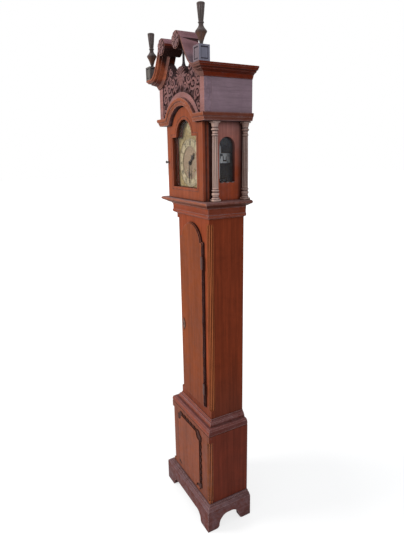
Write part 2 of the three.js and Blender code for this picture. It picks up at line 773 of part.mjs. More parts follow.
function escutcheon() {
  const half = escutcheonWidth / 2;
  const tall = escutcheonHeight / 2;
  const { waist, drop, lobe, fall, swell } = escutcheonShares;
  const shape = new THREE.Shape();
  shape.moveTo(0, -tall);
  for (const [x, z] of [[half, -tall], [-half, tall]]) {
    shape.quadraticCurveTo(x * waist, z * drop, x * lobe, z * fall);
    shape.quadraticCurveTo(x, z * swell, x, 0);
    shape.quadraticCurveTo(x, -z * swell, x * lobe, -z * fall);
    shape.quadraticCurveTo(x * waist, -z * drop, 0, -z);
  }
  const hole = rectangle(-keyholeRadius, keyholeRadius, -keyholeLength / 2, keyholeLength / 2);
  shape.holes.push(hole);
  return frontBoard(shape, 0, escutcheonThickness, 3);
}

// The backboard is wide in the base and narrow in the trunk and hood.
function backboard() {
  const wide = baseHalf - boardThickness - seam;
  const narrow = trunkHalf - boardThickness - seam;
  const step = trunkBottom - seam;
  const top = slabBottom - slip;
  return frontBoard(polygon([
    [-wide, baseBottom], [wide, baseBottom], [wide, step], [narrow, step],
    [narrow, top], [-narrow, top], [-narrow, step], [-wide, step],
  ]), 0, backboardThickness);
}

// The seat board is a bench whose legs are screwed inside the trunk's sides. It is slotted for the lines.
function seatBoard() {
  const outer = trunkHalf - boardThickness - seam;
  const inner = outer - boardThickness;
  const outline = polygon([
    [-outer, seatTop - seatLeg], [-inner, seatTop - seatLeg], [-inner, seatTop - seatThickness], [inner, seatTop - seatThickness],
    [inner, seatTop - seatLeg], [outer, seatTop - seatLeg], [outer, seatTop], [-outer, seatTop],
  ]);
  const bench = frontBoard(outline, seatBack, seatFront);
  const slots = [-1, 1].map((side) => {
    const x = side * lineX;
    const half = seatSlotWidth / 2;
    const y = -lineDepth;
    return block(x - half, x + half, y - half, y + half, seatTop - overrun, seatTop + overrun);
  });
  return cut(bench, ...slots);
}

function windowOutline(lap) {
  const back = -(windowBack - lap);
  const front = -(windowBack + windowWidth + lap);
  const middle = (back + front) / 2;
  const shape = new THREE.Shape();
  const bottom = windowBottom - lap;
  shape.moveTo(front, windowSpring);
  if (lap > 0) {
    shape.lineTo(front, bottom);
    shape.lineTo(back, bottom);
  } else {
    const lobe = (back - front) / windowLobes;
    shape.lineTo(front, bottom);
    for (let i = 0; i < windowLobes; i++) {
      shape.quadraticCurveTo(front + (i + 0.5) * lobe, bottom - 2 * windowLobeDepth, front + (i + 1) * lobe, bottom);
    }
  }
  shape.lineTo(back, windowSpring);
  shape.absarc(middle, windowSpring, (back - front) / 2, 0, Math.PI, false);
  return shape;
}

function hoodSide() {
  const outline = rectangle(seam - maskBack, 0, hoodFloor + seam, slabBottom - seam);
  const board = sideBoard(outline, hoodInner, hoodHalf);
  return cut(board, sideBoard(windowOutline(0), hoodInner - overrun, hoodHalf + overrun, 5));
}

function sideGlass() {
  return sideBoard(windowOutline(windowGlassLap), hoodInner - seam - windowGlassThickness, hoodInner - seam, 5);
}

// A turned and fluted colonnette between a square plinth and a square abacus.
function hoodColumn() {
  const bottom = hoodFloor + seam;
  const height = architraveBottom - seam - bottom;
  const half = columnSquare / 2;
  const foot = height * pillarFootShare;
  const head = height * pillarHeadShare;
  const shaftBottom = columnPlinthThickness + foot;
  const shaftTop = height - columnSquareThickness - head;
  const turned = (shares, radius, tall, from) => {
    const points = shares.map(([u, v]) => new THREE.Vector2(u * radius, v * tall));
    const geometry = new THREE.LatheGeometry(points, 8);
    geometry.rotateX(quarterTurn);
    geometry.translate(0, 0, from);
    return solidOf(geometry);
  };
  const shaft = new THREE.Shape();
  const steps = columnFlutes * 2;
  for (let i = 0; i < steps; i++) {
    const angle = (i / steps) * fullTurn;
    const radius = columnRadius * (i % 2 ? columnFluteShare : 1);
    const go = i === 0 ? "moveTo" : "lineTo";
    shaft[go](radius * Math.cos(angle), radius * Math.sin(angle));
  }
  const station = (z, share) => ({ origin: vector(0, 0, z), out: vector(share, 0, 0), up: vector(0, share, 0) });
  const stations = [
    station(shaftBottom - seam, 1),
    station((shaftBottom + shaftTop) / 2, columnWaistShare),
    station(shaftTop + seam, columnTaperShare),
  ];
  return joined(
    block(-half, half, -half, half, 0, columnPlinthThickness),
    turned(columnFootShares, columnRadius, foot + seam, columnPlinthThickness - seam),
    sweep(shaft, stations),
    turned(columnHeadShares, columnRadius * columnTaperShare, head + seam, shaftTop),
    block(-half, half, -half, half, height - columnSquareThickness, height),
  );
}

function dialMask() {
  const outline = rectangle(-hoodHalf, hoodHalf, hoodFloor + seam, maskTop);
  outline.holes.push(tombstone(lightHalf, lightBottom, lightShoulder, lightArchRadius, archCentre));
  return frontBoard(outline, maskBack, maskDepth, 6);
}

function hoodDoor() {
  const back = hoodDoorDepth - hoodDoorThickness;
  const light = (grow, shoulder = 0) =>
    tombstone(lightHalf + grow, lightBottom - grow, lightShoulder + shoulder, lightArchRadius + grow, archCentre);
  const outline = tombstone(hoodDoorHalf, hoodDoorBottom, hoodDoorShoulder, hoodDoorArchRadius, archCentre);
  outline.holes.push(light(0));
  const frame = frontBoard(outline, back, hoodDoorDepth, 6);
  const rebate = frontBoard(light(doorGlassLap, doorGlassLap), back - overrun, back + glazingRebate, 6);
  const ring = light(beadGap + beadWidth, beadGap + beadWidth);
  ring.holes.push(light(beadGap, beadGap));
  const groove = frontBoard(ring, hoodDoorDepth - beadDepth, hoodDoorDepth + overrun, 6);
  return cut(frame, rebate, groove);
}

function hoodDoorGlass() {
  const lap = doorGlassLap - seam;
  const outline = tombstone(lightHalf + lap, lightBottom - lap, lightShoulder + lap, lightArchRadius + lap, archCentre);
  const front = hoodDoorDepth - hoodDoorThickness + glazingRebate - seam;
  return frontBoard(outline, front - doorGlassThickness, front, 6);
}

function knob() {
  const geometry = new THREE.LatheGeometry(knobShares.map(([u, v]) => new THREE.Vector2(u * knobRadius, v * knobLength)), 10);
  geometry.rotateX(Math.PI);
  return solidOf(geometry);
}

// The architrave runs along each side, returns across the front and breaks into an arch over the door.
function architrave() {
  const height = architraveTop - architraveBottom;
  const inner = { half: friezeHalf + seam, depth: friezeDepth + seam };
  const side = architraveHalf - inner.half;
  const front = architraveDepth - inner.depth;
  const level = vector(0, 0, height);
  const forward = vector(0, -front, 0);
  const foot = Math.asin((architraveBottom - archCentre) / archRadius);
  const arc = [];
  const steps = 12;
  for (let i = 0; i <= steps; i++) {
    const angle = foot + (i / steps) * (Math.PI - 2 * foot);
    const radial = vector(Math.cos(angle), 0, Math.sin(angle));
    const origin = radial.clone().multiplyScalar(archRadius).add(vector(0, -inner.depth, archCentre));
    const up = radial.multiplyScalar(height);
    if (i === 0 || i === steps) {
      const mitre = vector(up.x, 0, up.z).add(level);
      up.copy(mitre.multiplyScalar(height * height / mitre.dot(level)));
    }
    arc.push({ origin, out: forward, up });
  }
  const stations = [
    { origin: vector(inner.half, 0, architraveBottom), out: vector(side, 0, 0), up: level },
    { origin: vector(inner.half, -inner.depth, architraveBottom), out: vector(side, -front, 0), up: level },
    ...arc,
    { origin: vector(-inner.half, -inner.depth, architraveBottom), out: vector(-side, -front, 0), up: level },
    { origin: vector(-inner.half, 0, architraveBottom), out: vector(-side, 0, 0), up: level },
  ];
  return sweep(profile(architraveShares), stations, 2);
}

// The side frieze is a board with a soffit that rests on the columns.
function frieze() {
  const outline = polygon([
    [hoodHalf + seam, architraveBottom + seam], [friezeHalf, architraveBottom + seam], [friezeHalf, slabBottom - seam],
    [friezeHalf - friezeThickness, slabBottom - seam], [friezeHalf - friezeThickness, architraveBottom + soffitThickness],
    [hoodHalf + seam, architraveBottom + soffitThickness],
  ]);
  return frontBoard(outline, 0, tympanumBack - seam);
}

// The upper edge of the right swan neck, from the cornice up to the scroll.
function neckCurve() {
  const endX = scrollX + scrollRadius * Math.cos(scrollAngle);
  const endZ = scrollZ + scrollRadius * Math.sin(scrollAngle);
  return new THREE.CubicBezierCurve(
    new THREE.Vector2(neckStart, corniceTop),
    new THREE.Vector2(neckKneeX, corniceTop),
    new THREE.Vector2(neckShoulderX, neckShoulderZ),
    new THREE.Vector2(endX, endZ),
  );
}

// Points below the swan neck's upper edge, by `drop`, square to the curve.
function belowNeck(drop, from, to, steps) {
  const curve = neckCurve();
  const points = [];
  for (let i = 0; i <= steps; i++) {
    const t = from + (i / steps) * (to - from);
    const edge = curve.getPoint(t);
    const tangent = curve.getTangent(t);
    points.push([edge.x - tangent.y * drop, edge.y + tangent.x * drop]);
  }
  return points;
}

// The cornice of the right side, mitred at the corner and swept up into the swan neck and its scroll.
function corniceRight() {
  const outline = profile([
    ...corniceShares, [-slabShare, 1], [-slabShare, 1 - corniceSlab / corniceHeight], [0, 1 - corniceSlab / corniceHeight],
  ]);
  const side = corniceHalf - friezeHalf - seam;
  const front = corniceDepth - friezeDepth - seam;
  const level = vector(0, 0, corniceHeight);
  const forward = vector(0, -front, 0);
  const innerHalf = friezeHalf + seam;
  const innerDepth = friezeDepth + seam;
  const stations = [
    { origin: vector(innerHalf, 0, corniceBottom), out: vector(side, 0, 0), up: level },
    { origin: vector(innerHalf, -innerDepth, corniceBottom), out: vector(side, -front, 0), up: level },
  ];
  const curve = neckCurve();
  const steps = 9;
  for (let i = 0; i <= steps; i++) {
    const edge = curve.getPoint(i / steps);
    const tangent = curve.getTangent(i / steps);
    const up = vector(tangent.y * corniceHeight, 0, -tangent.x * corniceHeight);
    stations.push({ origin: vector(edge.x - up.x, -innerDepth, edge.y - up.z), out: forward, up });
  }
  const back = innerDepth - front * slabShare;
  const boss = bar(scrollRadius, back, corniceDepth + scrollProud, scrollX, scrollZ, 24);
  return joined(sweep(outline, stations, 2), boss);
}

// A carved pinwheel with curved petals round a button.
function rosette() {
  const { hollow, button, ground, root, rise } = rosetteShares;
  const shape = new THREE.Shape();
  const steps = rosettePetals * 3;
  for (let i = 0; i < steps; i++) {
    const angle = (i / steps) * fullTurn;
    const phase = (i % 3) / 3;
    const radius = rosetteRadius * (hollow + (1 - hollow) * Math.sin(phase * Math.PI));
    const go = i === 0 ? "moveTo" : "lineTo";
    shape[go](radius * Math.cos(angle), radius * Math.sin(angle));
  }
  const disc = frontBoard(shape, 0, rosetteThickness * ground);
  const boss = bar(rosetteRadius * button, 0, rosetteThickness, 0, 0, 10);
  const petals = [];
  for (let i = 0; i < rosettePetals; i++) {
    const petal = profile(petalShares);
    const solid = frontBoard(petal, 0, 1, 2).scale([rosetteRadius, rosetteThickness * (rise - ground + root), rosetteRadius]);
    const raised = solid.translate([0, -rosetteThickness * (ground - root), 0]);
    petals.push(raised.rotate([0, (i / rosettePetals) * 360, 0]));
  }
  return joined(disc, boss, ...petals);
}

// The tympanum's outline: the arch over the door below, the swan necks above, and the shell in the middle.
function tympanumOutline() {
  const half = friezeHalf;
  const foot = architraveBottom + seam;
  const start = Math.asin((foot - archCentre) / archRadius);
  const under = belowNeck(corniceSlab + seam, 0, 0.62, 7);
  const last = under[under.length - 1];
  const shape = new THREE.Shape();
  shape.moveTo(half, foot);
  shape.lineTo(half, slabBottom - seam);
  under.forEach(([x, z]) => shape.lineTo(x, z));
  shape.quadraticCurveTo(last[0] - stileWidth, last[1] - stileWidth / 2, shellHalf + stileWidth / 2, shellBottom);
  shape.lineTo(shellHalf, shellBottom);
  shape.quadraticCurveTo(shellHalf, shellTop - shellSeat / 2, shellSeat, shellTop);
  shape.lineTo(-shellSeat, shellTop);
  shape.quadraticCurveTo(-shellHalf, shellTop - shellSeat / 2, -shellHalf, shellBottom);
  shape.lineTo(-shellHalf - stileWidth / 2, shellBottom);
  shape.quadraticCurveTo(stileWidth - last[0], last[1] - stileWidth / 2, -last[0], last[1]);
  under.reverse().forEach(([x, z]) => shape.lineTo(-x, z));
  shape.lineTo(-half, slabBottom - seam);
  shape.lineTo(-half, foot);
  shape.absarc(0, archCentre, archRadius, Math.PI - start, start, true);
  return shape;
}

// The sunk field that the carving stands in, open at the top between the swan necks.
function carvedField() {
  const half = friezeHalf - stileWidth;
  const low = architraveTop + slip;
  const radius = archRadius + architraveTop - architraveBottom + archBandWidth;
  const start = Math.asin((low - archCentre) / radius);
  const under = belowNeck(corniceHeight + slip, 0.1, 0.62, 6).filter(([x]) => x < half);
  const shape = new THREE.Shape();
  shape.moveTo(half, low);
  shape.lineTo(half, under[0][1]);
  under.forEach(([x, z]) => shape.lineTo(x, z));
  shape.lineTo(shellHalf + stileWidth / 2, shellTop + overrun);
  shape.lineTo(-shellHalf - stileWidth / 2, shellTop + overrun);
  under.reverse().forEach(([x, z]) => shape.lineTo(-x, z));
  shape.lineTo(-half, under[under.length - 1][1]);
  shape.lineTo(-half, low);
  shape.absarc(0, archCentre, radius, Math.PI - start, start, true);
  return shape;
}

// A leafy C scroll: a band that winds inwards and thins out, from a row of shares.
function scrollBand([across, up, size, wide, from, turns]) {
  const x = across * friezeHalf;
  const z = archCentre + up * (corniceTop - archCentre);
  const steps = 8;
  const outer = [];
  const inner = [];
  for (let i = 0; i <= steps; i++) {
    const share = i / steps;
    const angle = (from + share * turns) * fullTurn;
    const reach = size * friezeHalf * (1 - windShares.reach * share);
    const band = wide * friezeHalf * (1 - windShares.band * share);
    outer.push([x + reach * Math.cos(angle), z + reach * Math.sin(angle)]);
    inner.push([x + (reach - band) * Math.cos(angle), z + (reach - band) * Math.sin(angle)]);
  }
  return polygon([...outer, ...inner.reverse()]);
}

function tympanum() {
  const board = frontBoard(tympanumOutline(), tympanumBack, tympanumDepth, 6);
  const field = frontBoard(carvedField(), tympanumGround, tympanumDepth + overrun, 6);
  const carved = tympanumDepth - reliefDepth / 4;
  const sunk = tympanumGround - seam;
  const scrolls = carvingShares.map((row) => frontBoard(scrollBand(row), sunk, carved, 4));
  const { root, valley, crown, drop, rib, heart, centre, reach } = shellShares;
  const fan = shellTop - shellBottom + shellHalf * reach;
  const half = (Math.PI / shellRibs) * rib;
  const ribs = [];
  for (let i = 0; i < shellRibs; i++) {
    const angle = ((i + 0.5) / shellRibs) * Math.PI;
    const at = (share, turn) => [fan * share * Math.cos(turn), fan * share * Math.sin(turn)];
    const shape = new THREE.Shape();
    shape.moveTo(...at(root, angle));
    shape.lineTo(...at(valley, angle - half));
    shape.quadraticCurveTo(...at(crown, angle), ...at(valley, angle + half));
    ribs.push(frontBoard(shape, sunk, carved, 3).translate([0, 0, shellTop - fan * drop]));
  }
  const eye = bar(shellHalf * heart, sunk, carved, 0, shellTop - shellHalf * centre, 12);
  return joined(cut(board, field), ...scrolls, ...scrolls.map(mirrored), ...ribs, eye);
}

function roofBoard() {
  const half = friezeHalf - (corniceHalf - friezeHalf) * slabShare - slip;
  const depth = friezeDepth - (corniceDepth - friezeDepth) * slabShare - slip;
  return block(-half, half, -depth, 0, slabBottom, corniceTop);
}

// A finial block has a sunk panel on each upright face.
function finialPlinth() {
  const half = finialBlock / 2;
  const height = finialBlockTop - corniceTop - seam;
  const inset = half - finialPanelMargin;
  const sunk = half - finialPanelDepth;
  const low = finialPanelMargin;
  const high = height - finialPanelMargin;
  return cut(
    block(-half, half, -half, half, 0, height),
    block(-inset, inset, -half - overrun, -sunk, low, high),
    block(-inset, inset, sunk, half + overrun, low, high),
    block(-half - overrun, -sunk, -inset, inset, low, high),
    block(sunk, half + overrun, -inset, inset, low, high),
  );
}

// A turned finial with a knop, a ring and a tapering vase. The vase is reeded.
function finial(shares, height) {
  const points = shares.map(([u, v]) => new THREE.Vector2(u * finialRadius, v * height));
  const geometry = new THREE.LatheGeometry(points, finialReeds * 2);
  geometry.rotateX(quarterTurn);
  const position = geometry.attributes.position;
  for (let i = 0; i < position.count; i++) {
    const share = position.getZ(i) / height;
    const angle = Math.atan2(position.getY(i), position.getX(i));
    if (share > reedShares.from && share < reedShares.to) {
      const scale = 1 - finialReedShare * (1 + Math.cos(finialReeds * angle));
      position.setXYZ(i, position.getX(i) * scale, position.getY(i) * scale, position.getZ(i));
    }
  }
  return solidOf(geometry);
}

// A wheel with pointed teeth and spoked crossings, flat on the depth plane `back`.
function wheel(radius, teeth, back, thickness, bore) {
  const shape = new THREE.Shape();
  for (let i = 0; i < teeth * 2; i++) {
    const angle = (i / (teeth * 2)) * fullTurn;
    const reach = i % 2 ? radius : radius - toothHeight;
    const go = i === 0 ? "moveTo" : "lineTo";
    shape[go](reach * Math.cos(angle), reach * Math.sin(angle));
  }
  const { rim, hub, spoke } = wheelShares;
  for (let i = 0; i < wheelSpokes; i++) {
    const from = (i / wheelSpokes + spoke) * fullTurn;
    const to = ((i + 1) / wheelSpokes - spoke) * fullTurn;
    const hole = new THREE.Path();
    hole.absarc(0, 0, radius * rim, from, to, false);
    hole.absarc(0, 0, bore + radius * hub, to, from, true);
    shape.holes.push(hole);
  }
  return frontBoard(shape, back, back + thickness, 1);
}

// Two plates joined by pillars, with the back cock that the pendulum hangs from and the bell on its stand.
function movementFrame() {
  const bottom = seatTop + seam;
  const top = bottom + plateHeight;
  const plate = (front) => frontBoard(rectangle(-plateHalf, plateHalf, bottom, top), front - plateThickness, front);
  const pillars = [];
  for (const x of [pillarInset - plateHalf, plateHalf - pillarInset]) {
    for (const z of [bottom + pillarInset, top - pillarInset]) {
      pillars.push(bar(pillarRadius, backPlateDepth - seam, frontPlateDepth - plateThickness + seam, x, z, 6));
    }
  }
  const hole = (radius, x, z) => bar(radius, backPlateDepth - plateThickness - overrun, frontPlateDepth + overrun, x, z, 8);
  const back = backPlateDepth - plateThickness;
  const cockHalf = rodWidth;
  const cockTop = palletZ + rodWidth * 1.6;
  const cock = joined(
    block(-cockHalf * 2, cockHalf * 2, -back - seam, -back + plateThickness, palletZ + rodWidth, cockTop),
    block(-cockHalf, cockHalf, -back - seam, -cockDepth, palletZ + rodWidth / 2 + seam, cockTop),
  );
  const standHeight = top + bellRise;
  const crown = bellShares.map(([u, v]) => [u * bellRadius, v * bellRadius]);
  const rim = crown[crown.length - 1][1];
  const hollow = crown.map(([u, v]) => [Math.max(u - bellThickness, 0), Math.max(v - bellThickness, rim)]);
  const bellPoints = [...hollow, ...crown.reverse()].map(([u, v]) => new THREE.Vector2(u, v));
  const bellGeometry = new THREE.LatheGeometry(bellPoints, 12);
  bellGeometry.rotateX(quarterTurn);
  const bell = solidOf(bellGeometry).translate([0, -(frontPlateDepth + backPlateDepth) / 2, standHeight]);
  const middle = (frontPlateDepth + backPlateDepth) / 2;
  const stand = joined(
    block(-pillarRadius, pillarRadius, -back - seam, -back + plateThickness, cockTop - seam, standHeight + bellThickness),
    block(-pillarRadius, pillarRadius, -middle - pillarRadius, -back, standHeight - bellThickness / 2, standHeight + bellThickness),
  );
  const frame = joined(plate(frontPlateDepth), plate(backPlateDepth), ...pillars, cock, bell, stand);
  return cut(
    frame,
    hole(minuteArborRadius + running, 0, dialCentre),
    hole(pivotRadius + running / 2, 0, escapeZ),
    hole(pivotRadius + running / 2, 0, palletZ),
    bar(windingSquare + running, frontPlateDepth - plateThickness - seam, frontPlateDepth + seam, -barrelX, barrelZ, 8),
    bar(windingSquare + running, frontPlateDepth - plateThickness - seam, frontPlateDepth + seam, barrelX, barrelZ, 8),
    bar(pivotRadius + running / 2, back - seam, backPlateDepth + seam, -barrelX, barrelZ, 8),
    bar(pivotRadius + running / 2, back - seam, backPlateDepth + seam, barrelX, barrelZ, 8),
  );
}

// A spandrel ornament for one corner of the dial, with a scalloped inner edge.
function spandrel(cornerX, cornerZ) {
  const margin = dialHalf - lightHalf;
  const x = dialHalf - margin - slip;
  const shape = new THREE.Shape();
  const tall = cornerZ - slip;
  const reach = chapterOuter + slip;
  const from = Math.asin(Math.min(1, (tall * spandrelShare) / reach));
  const to = Math.acos(Math.min(1, (x * spandrelShare) / reach));
  shape.moveTo(x, tall);
  shape.lineTo(x * spandrelShare, tall);
  const steps = 6;
  for (let i = 0; i <= steps; i++) {
    const angle = to + (i / steps) * (from - to);
    const bump = reach + (i % 2) * slip;
    shape.lineTo(bump * Math.cos(angle), bump * Math.sin(angle));
  }
  shape.lineTo(x, tall * spandrelShare);
  shape.quadraticCurveTo(x - slip, tall * 0.7, x, tall);
  const points = shape.getPoints(3).map((p) => [Math.sign(cornerX) * p.x, p.y]);
  return points;
}

function dialPlate() {
  const back = dialDepth - dialThickness;
  const outline = tombstone(dialHalf, dialBottom, dialShoulder, dialArchRadius, archCentre);
  const plate = frontBoard(outline, back, dialDepth, 8);
  const ornaments = [];
  for (const side of [-1, 1]) {
    for (const up of [-1, 1]) {
      const tall = up > 0 ? dialShoulder - dialCentre - slip : dialCentre - lightBottom;
      const points = spandrel(side, tall).map(([x, z]) => [x, dialCentre + up * z]);
      ornaments.push(frontBoard(polygon(points), dialDepth - seam, dialDepth + spandrelThickness));
    }
  }
  const moonZ = (archCentre + dialArchRadius + dialShoulder) / 2 - slip * 2;
  const moon = bar(moonRadius, dialDepth - seam, dialDepth + spandrelThickness, 0, moonZ, 24);
  const disc = bar(moonRadius * moonShare, dialDepth, dialDepth + spandrelThickness * 2, 0, moonZ, 16);
  const posts = [];
  for (const x of [pillarInset * 2 - plateHalf, plateHalf - pillarInset * 2]) {
    for (const z of [seatTop + pillarInset, dialCentre + chapterOuter * dialPostShare]) {
      posts.push(bar(dialPostRadius, frontPlateDepth + seam, back + seam, x, z, 6));
    }
  }
  const hole = (radius, x, z) => bar(radius, back - seam, dialDepth + overrun, x, z, 8);
  return cut(
    joined(plate, ...ornaments, moon, disc, ...posts),
    hole(hourPipeRadius + running, 0, dialCentre),
    hole(windingHoleRadius, -barrelX, barrelZ),
    hole(windingHoleRadius, barrelX, barrelZ),
  );
}

function chapterRing() {
  const points = [
    [chapterInner, 0], [chapterOuter, 0], [chapterOuter, chapterThickness], [chapterInner, chapterThickness], [chapterInner, 0],
  ].map(([u, v]) => new THREE.Vector2(u, v));
  const geometry = new THREE.LatheGeometry(points, 32);
  geometry.rotateX(Math.PI);
  return solidOf(geometry);
}

// A blade with a pierced heart, pointing up from the arbor, between two depths.
function handBlade(length, boss, back, front) {
  const { notch, root, foot, belly, widest, bend, shoulder, tip, hole } = handShares;
  const shape = new THREE.Shape();
  const wide = boss * handShares.wide;
  const gap = notch * fullTurn;
  shape.absarc(0, 0, boss, quarterTurn + gap, quarterTurn - gap + fullTurn, false);
  shape.lineTo(boss * root, length * foot);
  shape.quadraticCurveTo(wide, length * belly, wide, length * widest);
  shape.quadraticCurveTo(wide * belly, length * bend, boss * tip, length * shoulder);
  shape.lineTo(0, length);
  shape.lineTo(-boss * tip, length * shoulder);
  shape.quadraticCurveTo(-wide * belly, length * bend, -wide, length * widest);
  shape.quadraticCurveTo(-wide, length * belly, -boss * root, length * foot);
  const eye = new THREE.Path();
  eye.absarc(0, length * widest, boss * hole, 0, fullTurn, false);
  shape.holes.push(eye);
  return frontBoard(shape, back, front, 3);
}

// The minute hand on its arbor, with the centre wheel between the plates. It points down at the half hour.
function minuteHand() {
  const back = dialDepth + chapterThickness + seam + handGap * 2 + handThickness;
  const blade = handBlade(minuteHandLength, minuteArborRadius * 2, back, back + handThickness).rotate([0, 180, 0]);
  const wheelBack = backPlateDepth + running;
  return joined(
    blade,
    bar(minuteArborRadius, backPlateDepth - plateThickness / 2, back + handThickness * 1.5, 0, 0, 8),
    wheel(centreWheelRadius, wheelTeeth, wheelBack, wheelThickness, minuteArborRadius),
  );
}

// The hour hand on its pipe, with the hour wheel behind the dial.
function hourHand() {
  const back = dialDepth + chapterThickness + seam + handGap;
  const blade = handBlade(hourHandLength, hourPipeRadius * 1.7, back, back + handThickness).rotate([0, 45, 0]);
  const pipeBack = frontPlateDepth + running;
  const solid = joined(
    blade,
    bar(hourPipeRadius, pipeBack, back + handThickness, 0, 0, 10),
    wheel(hourWheelRadius, wheelTeeth, pipeBack, wheelThickness, hourPipeRadius),
  );
  return cut(solid, bar(minuteArborRadius + running / 2, pipeBack - overrun, back + overrun, 0, 0, 10));
}

function escapeWheel() {
  const shape = new THREE.Shape();
  const step = fullTurn / escapeTeeth;
  const inner = escapeRadius * escapeShares.root;
  for (let i = 0; i < escapeTeeth; i++) {
    const angle = i * step;
    const lean = angle + step * escapeShares.lean;
    const go = i === 0 ? "moveTo" : "lineTo";
    shape[go](inner * Math.cos(angle), inner * Math.sin(angle));
    shape.lineTo(escapeRadius * Math.cos(lean), escapeRadius * Math.sin(lean));
  }
  const back = (frontPlateDepth + backPlateDepth) / 2;
  const arbor = bar(pivotRadius, backPlateDepth - plateThickness / 2, frontPlateDepth - plateThickness / 2, 0, 0, 10);
  return joined(frontBoard(shape, back, back + wheelThickness), arbor);
}

// The anchor spans the escape wheel. Its crutch hangs behind the back plate and holds the pendulum rod in a fork.
function anchor() {
  const back = (frontPlateDepth + backPlateDepth) / 2;
  const drop = escapeZ - palletZ;
  const tip = escapeRadius + running;
  const shape = new THREE.Shape();
  const { pad, root, claw, reach, waist } = anchorShares;
  shape.moveTo(-palletSpan, drop * pad);
  shape.quadraticCurveTo(-palletSpan * root, pivotRadius * 2, 0, pivotRadius * 2);
  shape.quadraticCurveTo(palletSpan * root, pivotRadius * 2, palletSpan, drop * pad);
  shape.lineTo(palletSpan * claw, drop * reach);
  shape.quadraticCurveTo(palletSpan * waist, -pivotRadius, 0, -pivotRadius);
  shape.quadraticCurveTo(-palletSpan * waist, -pivotRadius, -palletSpan * claw, drop * reach);
  const arm = frontBoard(shape, back, back + wheelThickness, 3);
  const tail = backPlateDepth - plateThickness - running;
  const arbor = bar(pivotRadius, tail - plateThickness, frontPlateDepth - plateThickness / 2, 0, 0, 10);
  const crutchLow = -(tip + springLength + rodWidth);
  const rodFront = pendulumDepth + rodThickness / 2;
  const half = rodWidth / 2 + running;
  const wall = plateThickness * 0.7;
  const crutch = block(-wall, wall, -tail, plateThickness - tail, crutchLow, pivotRadius);
  const cheek = (side) => {
    const x0 = side * half;
    const x1 = side * (half + wall);
    return block(Math.min(x0, x1), Math.max(x0, x1), -tail, rodThickness - rodFront, crutchLow, crutchLow + wall * 2);
  };
  const bridge = block(-half - wall, half + wall, -tail, plateThickness - tail, crutchLow, crutchLow + wall * 2);
  return joined(arm, arbor, crutch, cheek(-1), cheek(1), bridge);
}

// The pendulum hangs from a thin spring. The bob is a lens with a rating nut under it.
function pendulum() {
  const y = -pendulumDepth;
  const top = rodWidth / 2;
  const rodTop = top - springLength;
  const half = rodThickness / 2;
  const spring = block(-springWidth / 2, springWidth / 2, y - springThickness / 2, y + springThickness / 2, rodTop - seam, top - seam);
  const chuck = block(-springWidth / 2, springWidth / 2, y - half, y + half, top - springWidth, top);
  const rod = block(-rodWidth / 2, rodWidth / 2, y - half, y + half, -pendulumLength, rodTop);
  const lens = new THREE.LatheGeometry(lensShares.map(([u, v]) => new THREE.Vector2(u * bobRadius, v * bobThickness)), 14);
  lens.translate(0, y, -pendulumLength);
  const screw = new THREE.CylinderGeometry(half * 0.8, half * 0.8, screwLength, 8);
  screw.rotateX(quarterTurn);
  screw.translate(0, y, -pendulumLength - screwLength / 2);
  const nut = new THREE.CylinderGeometry(nutRadius, nutRadius, nutRadius, 8);
  nut.rotateX(quarterTurn);
  nut.translate(0, y, -pendulumLength - bobRadius - nutRadius);
  return joined(spring, chuck, rod, solidOf(lens), solidOf(screw), solidOf(nut));
}

// A barrel between two flanges, with its great wheel and an arbor that ends in a winding square.
function barrel() {
  const back = barrelFront - barrelLength;
  const wheelFront = back - barrelFlange;
  const arborFront = dialDepth + chapterThickness;
  const half = windingSquare * Math.SQRT1_2;
  return joined(
    bar(barrelRadius, back, barrelFront, 0, 0, 12),
    bar(barrelRadius + barrelFlange, back - barrelFlange / 2, back + barrelFlange / 2, 0, 0, 12),
    bar(barrelRadius + barrelFlange, barrelFront - barrelFlange, barrelFront, 0, 0, 12),
    wheel(greatWheelRadius, wheelTeeth, wheelFront - wheelThickness, wheelThickness + barrelFlange, pivotRadius * 2),
    bar(pivotRadius, backPlateDepth - plateThickness / 2, barrelFront, 0, 0, 8),
    block(-half, half, -arborFront, -barrelFront + running, -half, half),
  );
}

// A brass cased weight with a hook, hung at its lowest place.
function weight() {
  const points = weightShares.map(([u, v]) => new THREE.Vector2(u * weightRadius, v * weightHeight));
  const geometry = new THREE.LatheGeometry(points, 10);
  geometry.rotateX(quarterTurn);
  const { radius, wire, rise } = hookShares;
  const eye = new THREE.TorusGeometry(hookHeight * radius, lineRadius * wire, 4, 8);
  eye.rotateX(quarterTurn);
  eye.translate(0, 0, weightHeight + hookHeight * rise);
  return joined(solidOf(geometry), solidOf(eye));
}

function weightLine() {
  const { radius, wire, rise } = hookShares;
  const bottom = weightBottom + weightHeight + hookHeight * (rise + radius) + lineRadius * wire + seam;
  const top = barrelZ;
  const geometry = new THREE.CylinderGeometry(lineRadius, lineRadius, top - bottom, 6);
  geometry.rotateX(quarterTurn);
  geometry.translate(0, 0, (top + bottom) / 2);
  return solidOf(geometry);
}

// A piece made on the right and its mirror on the left.
function pair(name, finish, solid) {
  return [piece(name + "_right", finish, solid), piece(name + "_left", finish, mirrored(solid))];
}

